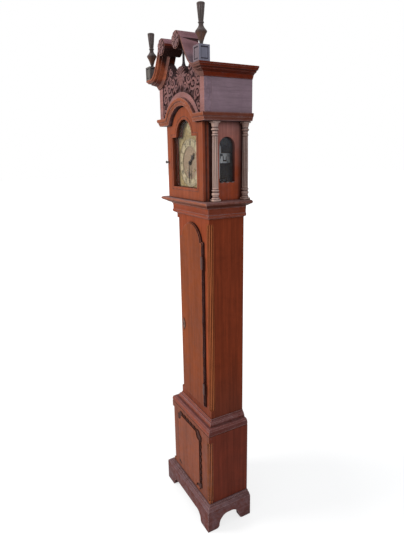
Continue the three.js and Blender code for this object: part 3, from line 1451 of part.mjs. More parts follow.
function caseGroup() {
  const group = new THREE.Group();
  const waistInner = { half: trunkHalf + seam, depth: trunkDepth + seam };
  const baseOuter = { half: baseHalf, depth: baseDepth };
  const waist = mitredMoulding(waistShares, waistInner, baseOuter, baseTop + seam, waistTop);
  const throatOuter = { half: throatHalf, depth: throatDepth };
  const throat = mitredMoulding(throatShares, waistInner, throatOuter, throatBottom, trunkTop);
  const inside = baseHalf - boardThickness - seam;
  const floorBottom = baseBottom + floorHeight;
  const floorFront = seam + frontThickness - baseDepth;
  const floorBack = -backboardThickness - seam;
  const floor = block(-inside, inside, floorFront, floorBack, floorBottom, floorBottom + floorThickness);
  const baseSide = caseSide(baseHalf, baseDepth, baseBottom, baseTop, baseColumnRadius, baseColumnBottom, baseColumnTop);
  const trunkSide = caseSide(
    trunkHalf, trunkDepth, trunkBottom, trunkTop, trunkColumnRadius, trunkColumnBottom, trunkColumnTop,
  );
  const columnLength = trunkColumnTop - trunkColumnBottom - 2 * seam;
  const column = quarterColumn(trunkColumnRadius - seam, columnLength, 0);
  const corner = [trunkHalf - trunkColumnRadius + seam, trunkColumnRadius - seam - trunkDepth, trunkColumnBottom + seam];
  group.add(
    piece("plinth_with_bracket_feet", "darkMahogany", plinth()),
    piece("base_front", "mahogany", baseFront()),
    ...pair("base_side", "darkMahogany", baseSide),
    piece("base_panel", "mahogany", basePanel()),
    piece("base_floor", "pine", floor),
    piece("waist_moulding", "darkMahogany", waist),
    piece("trunk_front", "mahogany", trunkFront()),
    ...pair("trunk_side", "darkMahogany", trunkSide),
    ...pair("trunk_column", "mahogany", column.translate(corner)),
    piece("backboard", "pine", backboard()),
    piece("throat_moulding", "mahogany", throat),
    piece("seat_board", "pine", seatBoard()),
  );
  return group;
}

function trunkDoorGroup() {
  const group = new THREE.Group();
  const face = -(trunkDepth + seam + doorLipThickness + seam);
  const hinge = trunkHinge();
  const edge = doorHalf + seam;
  group.add(
    piece("trunk_door", "mahogany", trunkDoor()),
    piece("trunk_hinge_lower", "brass", hinge, vector(edge, face, trunkHingeLow)),
    piece("trunk_hinge_upper", "brass", hinge, vector(edge, face, trunkHingeHigh)),
    piece("trunk_escutcheon", "blackSteel", escutcheon(), vector(escutcheonX, face, escutcheonZ)),
  );
  return group;
}

function hoodGroup() {
  const group = new THREE.Group();
  const baseInner = { half: hoodInner, depth: maskBack };
  const baseOuter = { half: hoodBaseHalf, depth: hoodBaseDepth };
  const column = hoodColumn();
  group.add(
    piece("hood_base_moulding", "mahogany", mitredMoulding(hoodBaseShares, baseInner, baseOuter, hoodBottom, hoodFloor)),
    ...pair("hood_side", "mahogany", hoodSide()),
    ...pair("side_glass", "glass", sideGlass()),
    piece("dial_mask", "mahogany", dialMask()),
    piece("architrave", "mahogany", architrave()),
    piece("tympanum", "carvedMahogany", tympanum()),
    ...pair("frieze", "darkMahogany", frieze()),
    ...pair("cornice", "mahogany", corniceRight()),
    piece("roof_board", "pine", roofBoard()),
  );
  for (const [sideName, side] of [["right", 1], ["left", -1]]) {
    for (const [endName, depth] of [["front", frontColumnDepth], ["rear", rearColumnDepth]]) {
      const place = vector(side * columnHalf, -depth, hoodFloor + seam);
      group.add(piece(`column_${endName}_${sideName}`, "greyedWood", column, place));
    }
    const rosetteFace = -(corniceDepth + scrollProud + seam);
    group.add(piece(`rosette_${sideName}`, "carvedMahogany", rosette(), vector(side * scrollX, rosetteFace, scrollZ)));
    const corner = vector(side * (corniceHalf - finialBlock / 2), finialBlock / 2 - corniceDepth, corniceTop + seam);
    group.add(piece(`finial_block_${sideName}`, "greyedWood", finialPlinth(), corner));
    const seat = vector(corner.x, corner.y, finialBlockTop + seam);
    group.add(piece(`finial_${sideName}`, "greyedWood", finial(finialShares, finialHeight), seat));
  }
  const middle = vector(0, -(tympanumBack + tympanumGround) / 2, shellTop + seam);
  group.add(piece("finial_centre", "greyedWood", finial(centreFinialShares, centreFinialHeight), middle));
  return group;
}

function hoodDoorGroup() {
  const group = new THREE.Group();
  group.add(
    piece("hood_door", "mahogany", hoodDoor()),
    piece("hood_door_glass", "glass", hoodDoorGlass()),
    piece("hood_door_knob", "blackSteel", knob(), vector(knobX, -hoodDoorDepth - seam, knobZ)),
  );
  return group;
}

function movementGroup() {
  const group = new THREE.Group();
  const lineY = -lineDepth;
  const hands = vector(0, 0, dialCentre);
  group.add(
    piece("movement_frame", "brass", movementFrame()),
    piece("dial_plate", "brass", dialPlate()),
    piece("chapter_ring", "silvered", chapterRing(), vector(0, -dialDepth - seam, dialCentre)),
    piece("minute_hand", "blackSteel", minuteHand(), hands),
    piece("hour_hand", "blackSteel", hourHand(), hands),
    piece("escape_wheel", "brass", escapeWheel(), vector(0, 0, escapeZ)),
    piece("anchor", "steel", anchor(), vector(0, 0, palletZ)),
    piece("pendulum", "brass", pendulum(), vector(0, 0, palletZ)),
  );
  for (const [name, side] of [["going", 1], ["strike", -1]]) {
    group.add(
      piece(`${name}_barrel`, "brass", barrel(), vector(side * barrelX, 0, barrelZ)),
      piece(`${name}_weight`, "brass", weight(), vector(side * lineX, lineY, weightBottom)),
      piece(`${name}_line`, "line", weightLine(), vector(side * lineX, lineY, 0)),
    );
  }
  return group;
}

const clock = new THREE.Group();
clock.add(caseGroup(), trunkDoorGroup(), hoodGroup(), hoodDoorGroup(), movementGroup());
clock.position.set(0, overallDepth / 2, 0);

export default clock;
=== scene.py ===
import json
import math

import bmesh
import bpy
import numpy as np
from mathutils import Matrix, Vector


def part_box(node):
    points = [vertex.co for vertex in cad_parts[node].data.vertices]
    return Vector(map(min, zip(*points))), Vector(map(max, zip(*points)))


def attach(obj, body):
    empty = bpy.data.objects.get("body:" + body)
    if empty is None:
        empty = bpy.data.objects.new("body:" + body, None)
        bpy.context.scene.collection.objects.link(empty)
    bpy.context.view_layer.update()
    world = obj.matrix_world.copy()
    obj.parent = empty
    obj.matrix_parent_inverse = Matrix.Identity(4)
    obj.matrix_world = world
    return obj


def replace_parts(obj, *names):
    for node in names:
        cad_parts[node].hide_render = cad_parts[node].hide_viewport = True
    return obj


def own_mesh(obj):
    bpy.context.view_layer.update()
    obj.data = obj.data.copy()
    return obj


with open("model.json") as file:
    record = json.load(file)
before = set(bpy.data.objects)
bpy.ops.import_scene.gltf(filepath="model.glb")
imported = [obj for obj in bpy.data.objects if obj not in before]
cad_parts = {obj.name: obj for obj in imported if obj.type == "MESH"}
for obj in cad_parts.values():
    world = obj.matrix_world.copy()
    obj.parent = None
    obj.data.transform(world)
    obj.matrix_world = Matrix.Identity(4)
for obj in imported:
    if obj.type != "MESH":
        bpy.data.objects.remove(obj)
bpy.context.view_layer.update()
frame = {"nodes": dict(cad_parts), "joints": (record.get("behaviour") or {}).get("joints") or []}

MM = 0.001
X, Y, Z = 0, 1, 2
BACK_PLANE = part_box("backboard")[1][Y]

# The camera that was fitted to the photograph, in degrees, pixels, millimetres of film and metres.
CAMERA_YAW = 61.19
CAMERA_PITCH = 14.55
CAMERA_ROLL = -0.98
CAMERA_FOCAL = 440.66
PICTURE_HEIGHT = 540
SENSOR_WIDTH = 36
CAMERA_ACROSS = 1.39823
CAMERA_BEFORE_BACK = 0.87311
CAMERA_HEIGHT = 1.41167

# Colours that several pieces share: two kinds of worn corners, which also carry a painted highlight, and the
# bloom of dust.
PINK = (0.5, 0.31, 0.29)
AMBER = (0.62, 0.2, 0.07)
DUST = (0.24, 0.17, 0.19)


def photo_camera():
    yaw = math.radians(CAMERA_YAW)
    pitch = math.radians(CAMERA_PITCH)
    roll = math.radians(CAMERA_ROLL)
    forward = Vector((-math.sin(yaw) * math.cos(pitch), math.cos(yaw) * math.cos(pitch), -math.sin(pitch)))
    right = Vector((math.cos(yaw), math.sin(yaw), 0))
    up = right.cross(forward)
    turned_right = math.cos(roll) * right + math.sin(roll) * up
    turned_up = -math.sin(roll) * right + math.cos(roll) * up
    data = bpy.data.cameras.new("camera")
    data.lens = CAMERA_FOCAL / PICTURE_HEIGHT * SENSOR_WIDTH
    data.sensor_width = SENSOR_WIDTH
    data.clip_start = 0.01
    camera = bpy.data.objects.new("camera", data)
    axes = Matrix((turned_right, turned_up, -forward)).transposed()
    place = (CAMERA_ACROSS, BACK_PLANE - CAMERA_BEFORE_BACK, CAMERA_HEIGHT)
    camera.matrix_world = Matrix.Translation(place) @ axes.to_4x4()
    bpy.context.scene.collection.objects.link(camera)
    bpy.context.scene.camera = camera


def lamp(name, place, target, size, power, tint):
    data = bpy.data.lights.new(name, "AREA")
    data.shape = "DISK"
    data.size = size
    data.energy = power
    data.color = tint
    light = bpy.data.objects.new(name, data)
    light.location = place
    light.rotation_euler = (Vector(target) - Vector(place)).to_track_quat("-Z", "Y").to_euler()
    bpy.context.scene.collection.objects.link(light)


class Graph:
    """Adds shader nodes by type, and links the sockets among their inputs.

    An input is given by its name, or as i and its number.
    """

    def __init__(self, tree):
        self.tree = tree

    def add(self, kind, settings=None, out=0, **inputs):
        node = self.tree.nodes.new(kind)
        for key, value in (settings or {}).items():
            setattr(node, key, value)
        for key, value in inputs.items():
            numbered = key[0] == "i" and key[1:].isdigit()
            socket = node.inputs[int(key[1:])] if numbered else node.inputs[key.replace("_", " ")]
            self.feed(socket, value)
        return node.outputs[out]

    def feed(self, socket, value):
        if isinstance(value, bpy.types.NodeSocket):
            self.tree.links.new(value, socket)
        else:
            socket.default_value = value

    def math(self, operation, a, b=0.0):
        return self.add("ShaderNodeMath", {"operation": operation}, i0=a, i1=b)

    def minus(self, a, b):
        return self.math("SUBTRACT", a, b)

    def absolute(self, value):
        return self.math("ABSOLUTE", value)

    def apart(self, a, b):
        return self.absolute(self.minus(a, b))

    def product(self, *values):
        result = values[0]
        for value in values[1:]:
            result = self.math("MULTIPLY", result, value)
        return result

    def mix(self, share, a, b, kind="MIX"):
        """Mixes two colours."""
        node = self.tree.nodes.new("ShaderNodeMix")
        node.data_type = "RGBA"
        node.blend_type = kind
        for place, value in zip((0, 6, 7), (share, a, b)):
            self.feed(node.inputs[place], value)
        return node.outputs[2]

    def paint(self, share, base, rgb):
        return self.mix(share, base, colour(rgb))

    def between(self, share, a, b):
        """Mixes two numbers."""
        node = self.tree.nodes.new("ShaderNodeMix")
        for place, value in zip((0, 2, 3), (share, a, b)):
            self.feed(node.inputs[place], value)
        return node.outputs[0]

    def scaled(self, rgb, factor):
        grey = self.add("ShaderNodeCombineColor", None, 0, Red=factor, Green=factor, Blue=factor)
        return self.mix(1.0, rgb, grey, "MULTIPLY")

    def ramp(self, share, low, high, a=0.0, b=1.0):
        """Goes from a to b while the share goes from low to high, and stays there beyond them."""
        node = self.tree.nodes.new("ShaderNodeMapRange")
        for socket, value in zip(node.inputs, (share, low, high, a, b)):
            self.feed(socket, value)
        return node.outputs[0]

    def parts(self, vector):
        node = self.tree.nodes.new("ShaderNodeSeparateXYZ")
        self.feed(node.inputs[0], vector)
        return node.outputs[0], node.outputs[1], node.outputs[2]

    def place(self):
        return self.add("ShaderNodeTexCoord", None, 3)

    def normal(self):
        return self.add("ShaderNodeTexCoord", None, 1)

    def noise(self, vector, scale, detail=3.0, roughness=0.5, distortion=0.0):
        return self.add(
            "ShaderNodeTexNoise", None, 0,
            Vector=vector, Scale=scale, Detail=detail, Roughness=roughness, Distortion=distortion,
        )

    def stretched(self, scale=(1, 1, 1), offset=(0, 0, 0)):
        return self.add("ShaderNodeMapping", None, 0, Vector=self.place(), Scale=scale, Location=offset)

    def bump(self, height, strength, distance):
        return self.add("ShaderNodeBump", None, 0, Strength=strength, Distance=distance, Height=height)

    def grain(self, axis, figure):
        """The bands, streaks and pores of wood that was sawn along one axis."""
        marks = []
        kinds = (
            (24.0 * figure, 1.6 * figure, 5.0, 0.7),
            (110.0, 3.6, 4.0, 0.2),
            (560.0, 14.0, 2.0, 0.2),
        )
        for across, along, detail, distortion in kinds:
            scale = [across, across, across]
            scale[axis] = along
            marks.append(self.noise(self.stretched(scale), 1.0, detail, 0.62, distortion))
        return marks

    def edges(self, radius):
        """Rises from 0 on flat faces to 1 on rounded corners."""
        rounded = self.add("ShaderNodeBevel", {"samples": 4}, 0, Radius=radius)
        flat = self.add("ShaderNodeNewGeometry", None, 1)
        same = self.add("ShaderNodeVectorMath", {"operation": "DOT_PRODUCT"}, 1, i0=rounded, i1=flat)
        return self.ramp(same, 0.99, 0.86)

    def hollows(self, reach, cavity=(0.3, 0.88)):
        """Rises from 0 in the open to 1 in grooves and inner corners."""
        near = self.add("ShaderNodeAmbientOcclusion", {"samples": 6}, 1, Distance=reach)
        return self.ramp(near, cavity[0], cavity[1], 1.0, 0.0)


def start(name):
    material = bpy.data.materials.new(name)
    material.use_nodes = True
    tree = material.node_tree
    return material, Graph(tree), tree.nodes["Principled BSDF"]


def colour(rgb, factor=1.0):
    return (rgb[0] * factor, rgb[1] * factor, rgb[2] * factor, 1.0)


def wood(
    name, front, side=None, top=None, axis=Z, rail=False, figure=1.0, grime_and_shade=0.7, wear_and_highlight=0.3, bloom=0.0,
    rough=0.55, blot=None, reach=14 * MM, slope=(0.45, 0.85), edge=None, contrast=1.0, under=-0.25,
    cavity=(0.3, 0.88), worn=1.6 * MM,
):
    """Old mahogany. Its front, side, upper and lower faces have colours that paint light and shade, and its
    hollows are dark.

    The grain runs along the axis, and on a rail it turns with the sides. figure is how fine its bands are
    and contrast how strong. grime is the dirt and painted shade in hollows, which are seen within reach and
    told from the open by cavity. wear is how much of the edge colour, worn wood with a painted highlight,
    lies on corners, which are rounded to a radius of worn. bloom is the dust. slope and under are the z of
    the normal where the upper faces' painted sheen and the lower faces' painted shade begin.
    blot adds the marks of one piece.
    """
    material, g, shader = start(name)
    nx, ny, nz = g.parts(g.normal())
    px, py, pz = g.parts(g.place())
    sideways = g.ramp(g.minus(g.absolute(nx), g.absolute(ny)), -0.15, 0.15)
    # Side and upper faces take colours of their own, which paint the light and shade on them, and faces
    # turned down are darkened with painted shade.
    base = g.mix(sideways, colour(front), colour(side or front))
    base = g.paint(g.ramp(nz, slope[0], slope[1]), base, top or front)
    base = g.mix(g.ramp(nz, under, under - 0.45, 0.0, 0.75), base, colour(front, 0.15))
    if blot:
        base = blot(g, base, px, py, pz)
    bands, streaks, pores = g.grain(axis, figure)
    if rail:
        across = g.grain(Y, figure)
        bands, streaks, pores = (g.between(sideways, a, b) for a, b in zip((bands, streaks, pores), across))
    clouds = g.noise(g.stretched(), 9.0, 6.0, 0.7, 0.5)
    tone = g.product(
        g.ramp(bands, 0.3, 0.7, 1 - 0.13 * contrast, 1 + 0.13 * contrast),
        g.ramp(streaks, 0.3, 0.7, 1 - 0.2 * contrast, 1 + 0.2 * contrast),
        g.ramp(clouds, 0.3, 0.7, 0.82, 1.18),
    )
    base = g.scaled(base, tone)
    base = g.mix(g.ramp(pores, 0.56, 0.72, 0.0, 0.5), base, g.scaled(base, 0.4))
    dust = g.noise(g.stretched((1, 1, 1), (3, 1, 2)), 42.0, 4.0, 0.7, 0.3)
    if bloom:
        base = g.paint(g.ramp(dust, 0.4, 0.66, 0.0, bloom), base, DUST)
    hollow = g.hollows(reach, cavity)
    # Corners take the edge colour, worn wood with a painted highlight, and hollows darken with dirt and
    # painted shade.
    rubbed_and_lit = g.product(g.edges(worn), g.ramp(dust, 0.34, 0.6, 0.45, 1.0), wear_and_highlight)
    pale = edge or [value * 1.5 + 0.02 for value in front]
    base = g.paint(g.product(rubbed_and_lit, g.minus(1.0, hollow)), base, pale)
    base = g.mix(g.product(hollow, grime_and_shade), base, colour(front, 0.12))
    g.feed(shader.inputs["Base Color"], base)
    g.feed(shader.inputs["Roughness"], g.ramp(clouds, 0.3, 0.7, rough - 0.08, rough + 0.12))
    shader.inputs["Specular IOR Level"].default_value = 0.06
    height = g.math("ADD", g.product(streaks, 0.6), g.product(pores, 0.4))
    g.feed(shader.inputs["Normal"], g.bump(height, 0.3, 0.8 * MM))
    return material


def metal(
    name, rgb, roughness, tarnish, spots=60.0, metallic=1.0, relief=0.2, soil=0.6, blot=None,
    patchy=(0.42, 0.68),
):
    """Old metal with tarnish in patches, which patchy makes larger or smaller, and dirt in its hollows."""
    material, g, shader = start(name)
    cloud = g.noise(g.stretched(), spots, 4.0, 0.6, 0.3)
    base = colour(rgb)
    if blot:
        base = blot(g, base, *g.parts(g.place()))
    base = g.paint(g.ramp(cloud, patchy[0], patchy[1], 0.0, 0.8), base, tarnish)
    base = g.mix(g.product(g.hollows(6 * MM), soil), base, colour(tarnish, 0.25))
    g.feed(shader.inputs["Base Color"], base)
    shader.inputs["Metallic"].default_value = metallic
    g.feed(shader.inputs["Roughness"], g.ramp(cloud, 0.3, 0.7, roughness, roughness + 0.2))
    g.feed(shader.inputs["Normal"], g.bump(cloud, relief, 0.5 * MM))
    return material


def glass(name, haze, rgb):
    """Thin old glass, clear but for a film of dust, with a painted reflection, that is thicker from the side
    windows' heads up.
    """
    material, g, shader = start(name)
    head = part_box("side_glass_right")[1][Z]
    film = g.noise(g.stretched(), 30.0, 4.0, 0.7)
    thicker = g.ramp(g.parts(g.place())[Z], head - 57.5 * MM, head - 7.5 * MM, 1.0, 2.5)
    g.feed(shader.inputs["Alpha"], g.product(g.ramp(film, 0.35, 0.75, haze * 0.7, haze * 1.4), thicker))
    g.feed(shader.inputs["Base Color"], g.mix(g.ramp(film, 0.4, 0.7), colour(rgb), colour(rgb, 0.7)))
    shader.inputs["Roughness"].default_value = 0.06
    return material


def gut(name):
    material, g, shader = start(name)
    slanted = {"bands_direction": "DIAGONAL"}
    twist = g.add("ShaderNodeTexWave", slanted, 1, Vector=g.stretched(), Scale=300.0)
    base = g.mix(twist, colour((0.16, 0.1, 0.05)), colour((0.42, 0.3, 0.16)))
    g.feed(shader.inputs["Base Color"], base)
    shader.inputs["Roughness"].default_value = 0.7
    g.feed(shader.inputs["Normal"], g.bump(twist, 0.5, 0.3 * MM))
    return material


def dress(material, *names):
    for name in names:
        mesh = frame["nodes"][name].data
        mesh.materials.clear()
        mesh.materials.append(material)


def seen_directly(g):
    """1 for rays from the camera, through glass or off a gloss, which meet plain white, and 0 for others."""
    path = g.tree.nodes.new("ShaderNodeLightPath")
    seen = g.math("MAXIMUM", path.outputs["Is Camera Ray"], path.outputs["Is Transmission Ray"])
    return g.math("MAXIMUM", seen, path.outputs["Is Glossy Ray"])


def white_floor():
    """A white floor that keeps the object's soft shadow."""
    mesh = bpy.data.meshes.new("floor")
    mesh.from_pydata([(-30, -30, 0), (30, -30, 0), (30, 30, 0), (-30, 30, 0)], [], [(0, 1, 2, 3)])
    floor = bpy.data.objects.new("floor", mesh)
    bpy.context.scene.collection.objects.link(floor)
    material, g, shader = start("pale_floor")
    seen = seen_directly(g)
    g.feed(shader.inputs["Base Color"], g.mix(seen, colour((0.5, 0.5, 0.5)), colour((0.42, 0.42, 0.42))))
    shader.inputs["Roughness"].default_value = 0.9
    shader.inputs["Specular IOR Level"].default_value = 0.0
    shader.inputs["Emission Color"].default_value = (1, 1, 1, 1)
    away = g.add("ShaderNodeVectorMath", {"operation": "LENGTH"}, 1, i0=g.place())
    g.feed(shader.inputs["Emission Strength"], g.product(seen, g.ramp(away, 0.6, 2.4, 0.72, 1.0)))
    mesh.materials.append(material)


def studio_light():
    """An even, slightly cool light."""
    world = bpy.data.worlds.new("studio")
    bpy.context.scene.world = world
    world.use_nodes = True
    g = Graph(world.node_tree)
    background = world.node_tree.nodes["Background"]
    seen = seen_directly(g)
    g.feed(background.inputs["Color"], g.mix(seen, colour((0.94, 0.97, 1.0)), colour((1, 1, 1))))
    g.feed(background.inputs["Strength"], g.ramp(seen, 0.0, 1.0, 0.5, 1.0))
    bpy.context.scene.view_settings.view_transform = "Standard"
    lamp("key", place=(-1.5, -3.4, 2.5), target=(0, 0, 1.0), size=1.4, power=100, tint=(1.0, 0.98, 0.95))
    lamp("fill", place=(3.4, -0.6, 2.4), target=(0, 0, 0.9), size=1.8, power=30, tint=(0.95, 0.97, 1.0))


def middle(node):
    low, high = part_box(node)
    return [(a + b) / 2 for a, b in zip(low, high)]


def piece(name, mesh, body, material, smooth=False):
    mesh.materials.append(material)
    if smooth:
        mesh.shade_smooth()
    thing = bpy.data.objects.new(name, mesh)
    bpy.context.scene.collection.objects.link(thing)
    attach(thing, body)
    return thing


def to_mesh(build, name):
    mesh = bpy.data.meshes.new(name)
    build.to_mesh(mesh)
    build.free()
    return mesh


def block(build, low, high, bevel):
    """A box between two corners, with its edges softened."""
    made = bmesh.ops.create_cube(build, size=1)["verts"]
    for vertex in made:
        vertex.co = [(a + b) / 2 + share * (b - a) for a, b, share in zip(low, high, vertex.co)]
    edges = list({edge for vertex in made for edge in vertex.link_edges})
    bmesh.ops.bevel(build, geom=edges, offset=bevel, segments=2, profile=0.5, affect="EDGES")


def skin(build, rings):
    """Joins each ring of vertices to the next one and closes both ends."""
    around = len(rings[0])
    for lower, upper in zip(rings, rings[1:]):
        for i in range(around):
            j = (i + 1) % around
            build.faces.new((lower[i], lower[j], upper[j], upper[i]))
    build.faces.new(list(reversed(rings[0])))
    build.faces.new(rings[-1])


def flat_faces(mesh, depth):
    """The faces of a mesh that lie in one plane of depth, as lists of (x, z)."""
    faces = []
    for polygon in mesh.polygons:
        corners = [mesh.vertices[i].co for i in polygon.vertices]
        if all(abs(corner.y - depth) < 1e-5 for corner in corners):
            faces.append([(round(corner.x, 6), round(corner.z, 6)) for corner in corners])
    return faces


def rim(faces):
    """The edges that only one of the faces has."""
    count = {}
    for face in faces:
        for a, b in zip(face, face[1:] + face[:1]):
            key = (min(a, b), max(a, b))
            count[key] = count.get(key, 0) + 1
    return [key for key, times in count.items() if times == 1]


def inside(edges, x, z):
    """Marks the points that lie within a closed set of edges."""
    crossed = np.zeros(x.shape, bool)
    for (ax, az), (bx, bz) in edges:
        if az != bz:
            spans = (az > z) != (bz > z)
            crossed ^= spans & (x < ax + (z - az) / (bz - az) * (bx - ax))
    return crossed


def reach_to(edges, x, z):
    """The distance from each point to the nearest edge."""
    nearest = np.full(x.shape, 1e3)
    for (ax, az), (bx, bz) in edges:
        dx = bx - ax
        dz = bz - az
        share = np.clip(((x - ax) * dx + (z - az) * dz) / max(dx * dx + dz * dz, 1e-12), 0, 1)
        nearest = np.minimum(nearest, np.hypot(x - ax - share * dx, z - az - share * dz))
    return nearest


class Carving:
    """A height field in millimetres, raised by strokes with a rounded top and a cut vein."""

    def __init__(self, x, z):
        self.x = x
        self.z = z
        self.height = np.zeros(x.shape)

    def stroke(self, points, top, vein):
        """Each point is x, z and half the stroke's width there."""
        nearest = np.full(self.x.shape, 9.0)
        for x, z, half in points:
            nearest = np.minimum(nearest, np.hypot(self.x - x, self.z - z) / half)
        body = top * np.sqrt(np.clip(1 - nearest ** 2, 0, 1)) ** 0.8
        body -= vein * np.exp(-((nearest / 0.2) ** 2)) * (nearest < 1)
        self.height = np.maximum(self.height, body)

    def scroll(self, x, z, size, start_turn, turns, wide):
        """A band that winds inwards round an eye, from a radius of size."""
        steps = 60
        top = 7.0
        path = []
        for i in range(steps + 1):
            share = i / steps
            angle = (start_turn + share * turns) * 2 * math.pi
            reach = size * (1 - 0.74 * share)
            half = wide * (0.55 - 0.22 * share) * min(1, 0.35 + 5 * share)
            path.append((x + reach * math.cos(angle), z + reach * math.sin(angle), half))
        self.stroke(path, top, 1.6)
        self.stroke([(x, z, size * 0.24)], top + 0.6, 0.0)

    def leaf(self, x, z, aim, length, wide, bend):
        """A leaf from its root at x, z. aim and bend are in degrees, bend over the whole length."""
        steps = 26
        path = []
        for i in range(steps + 1):
            share = i / steps
            swell = 0.35 + 1.4 * math.sin(math.pi * min(1, share * 1.05) ** 0.8)
            lobes = 1 + 0.16 * math.sin(share * 26)
            path.append((x, z, max(0.5, wide / 2 * swell * (1 - 0.72 * share) * lobes)))
            angle = math.radians(aim + bend * share)
            x += math.cos(angle) * length / steps
            z += math.sin(angle) * length / steps
        self.stroke(path, 6.0, 1.9)


# Across and up from the shell's hub, radius, where the band starts in turns, turns, and the band's width.
SCROLLS = [
    (32, -35, 12, 0.75, 1.2, 9),
    (58, -15, 17, 0.05, -1.25, 11),
    (88, -33, 21, 0.55, 1.25, 12),
    (66, 19, 13, 0.3, -1.2, 9),
    (121, -28, 15, 0.1, 1.25, 10),
    (117, -64, 19, 0.6, -1.3, 12),
    (124, -103, 14, 0.2, -1.2, 10),
    (96, 1, 10, 0.8, 1.1, 8),
]
# Across and up from the shell's hub, aim of the root, length, width and bend.
LEAVES = [
    (0, -3, 270, 46, 13, 0), (5, -5, 296, 38, 11, -24), (9, -1, 326, 34, 10, -40),
    (14, 1, 352, 30, 9, -30), (36, -5, 60, 26, 9, -40), (44, 1, 120, 22, 8, 30),
    (40, -31, 330, 26, 9, -30), (70, -3, 20, 26, 9, 40), (74, -45, 210, 22, 8, 40),
    (104, -45, 70, 22, 8, 50), (108, -17, 120, 22, 8, -40), (134, -45, 100, 24, 8, 30),
    (98, -67, 250, 26, 9, 40), (132, -81, 300, 24, 8, -40), (112, -89, 250, 24, 8, -30),
    (134, -15, 140, 18, 7, 40), (82, -11, 100, 20, 8, 40), (52, -35, 300, 18, 7, -30),
    (108, -77, 200, 18, 7, 30), (136, -119, 150, 22, 8, 30), (80, 23, 300, 20, 7, -30),
    (128, -49, 250, 18, 7, 40),
]
HUB_ABOVE_FOOT = 149.7
SHELL_FLUTES = 5
SHELL_SPREAD = 19
CARVING_DEPTH = 8.4
CARVING_STEP = 1.1
CARVING_FADE = 2.5


def carved_height(x, z):
    """The shell with its leaves and scrolls, alike to the right and left. In millimetres."""
    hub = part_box("tympanum")[0][Z] / MM + HUB_ABOVE_FOOT
    carving = Carving(np.abs(x), z - hub)
    for scroll in SCROLLS:
        carving.scroll(*scroll)
    for leaf in LEAVES:
        carving.leaf(*leaf)
    for i in range(SHELL_FLUTES):
        angle = math.radians(90 - i * SHELL_SPREAD)
        path = []
        for step in range(16):
            reach = 6 + step * 1.55
            path.append((reach * math.cos(angle), reach * math.sin(angle), 1.1 + 0.2 * step))
        carving.stroke(path, 6.6, 0.9)
    carving.stroke([(0, -1, 6.5)], 7.6, 1.6)
    tool_marks = 0.25 * np.sin(x * 1.9 + z * 0.7) * np.sin(z * 1.3 - x * 0.4)
    return np.clip(carving.height + tool_marks, 0, CARVING_DEPTH - 0.5)


def sheet(border, outline, ground):
    """The carved ground within the border, as places and cells. It fades to nothing at the outline."""
    step = CARVING_STEP * MM
    points = np.array([end for edge in outline for end in edge])
    low = points.min(0)
    high = points.max(0)
    x, z = np.meshgrid(np.arange(low[0], high[0] + step, step), np.arange(low[1], high[1] + step, step))
    covered = inside(border, x, z)
    keep = inside(outline, x, z) & (~covered | (reach_to(border, x, z) < 1.5 * step))
    height = carved_height(x / MM, z / MM)
    height = height * np.clip(reach_to(outline, x, z) / (CARVING_FADE * MM), 0, 1) ** 0.5
    height = np.where(covered, 0, height)
    number = -np.ones(keep.shape, int)
    number[keep] = np.arange(keep.sum())
    places = np.stack([x[keep], ground - height[keep] * MM, z[keep]], 1)
    corners = [number[:-1, :-1], number[:-1, 1:], number[1:, 1:], number[1:, :-1]]
    cells = np.stack([corner.ravel() for corner in corners], 1)
    return places, cells[(cells >= 0).all(1)]


def prism(verts, faces, outline_faces, front, back, closed):
    """Adds flat faces at one depth, with walls from their rim to another depth."""
    first = len(verts)
    index = {}

    def at(point, depth):
        key = (point, depth)
        if key not in index:
            index[key] = first + len(index)
            verts.append((point[0], depth, point[1]))
        return index[key]

    for face in outline_faces:
        faces.append([at(point, front) for point in face])
        if closed:
            faces.append([at(point, back) for point in reversed(face)])
    for a, b in rim(outline_faces):
        faces.append([at(a, front), at(b, front), at(b, back), at(a, back)])


def tympanum(material):
    """The plate, its raised border and the carving between them."""
    source = frame["nodes"]["tympanum"].data
    low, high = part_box("tympanum")
    ground = low[Y] + CARVING_DEPTH * MM
    plate = flat_faces(source, high[Y])
    border = flat_faces(source, low[Y])
    verts = []
    faces = []
    prism(verts, faces, plate, ground, high[Y], True)
    prism(verts, faces, border, low[Y], ground, False)
    places, cells = sheet(rim(border), rim(plate), ground - 0.05 * MM)
    first = len(verts)
    verts += [tuple(place) for place in places]
    faces += [[int(i) + first for i in cell] for cell in cells]
    mesh = bpy.data.meshes.new("tympanum_carved")
    mesh.from_pydata(verts, [], faces)
    build = bmesh.new()
    build.from_mesh(mesh)
    bmesh.ops.recalc_face_normals(build, faces=build.faces)
    for face in build.faces:
        face.smooth = all(vertex.index >= first for vertex in face.verts)
    build.to_mesh(mesh)
    build.free()
    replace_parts(piece("tympanum_carved", mesh, "hood", material), "tympanum")


HOURS = ["XII", "I", "II", "III", "IIII", "V", "VI", "VII", "VIII", "IX", "X", "XI"]
LETTER_WIDTHS = {"I": 2.9, "V": 7.2, "X": 7.4}
# From the chapter ring's outer edge inwards.
NUMERAL_FOOT = 22.5
NUMERAL_HEAD = 8.5
MINUTE_FOOT = 6
MINUTE_HEAD = 2.6
RING_LINES = (6.2, 2.4, 24.4)
RING_LINE_WIDTH = 0.35
# Half the widths of the numerals' strokes, and the height of a serif.
THICK = 1.0
STEM = 0.95
THIN = 0.4
SERIF = 0.5


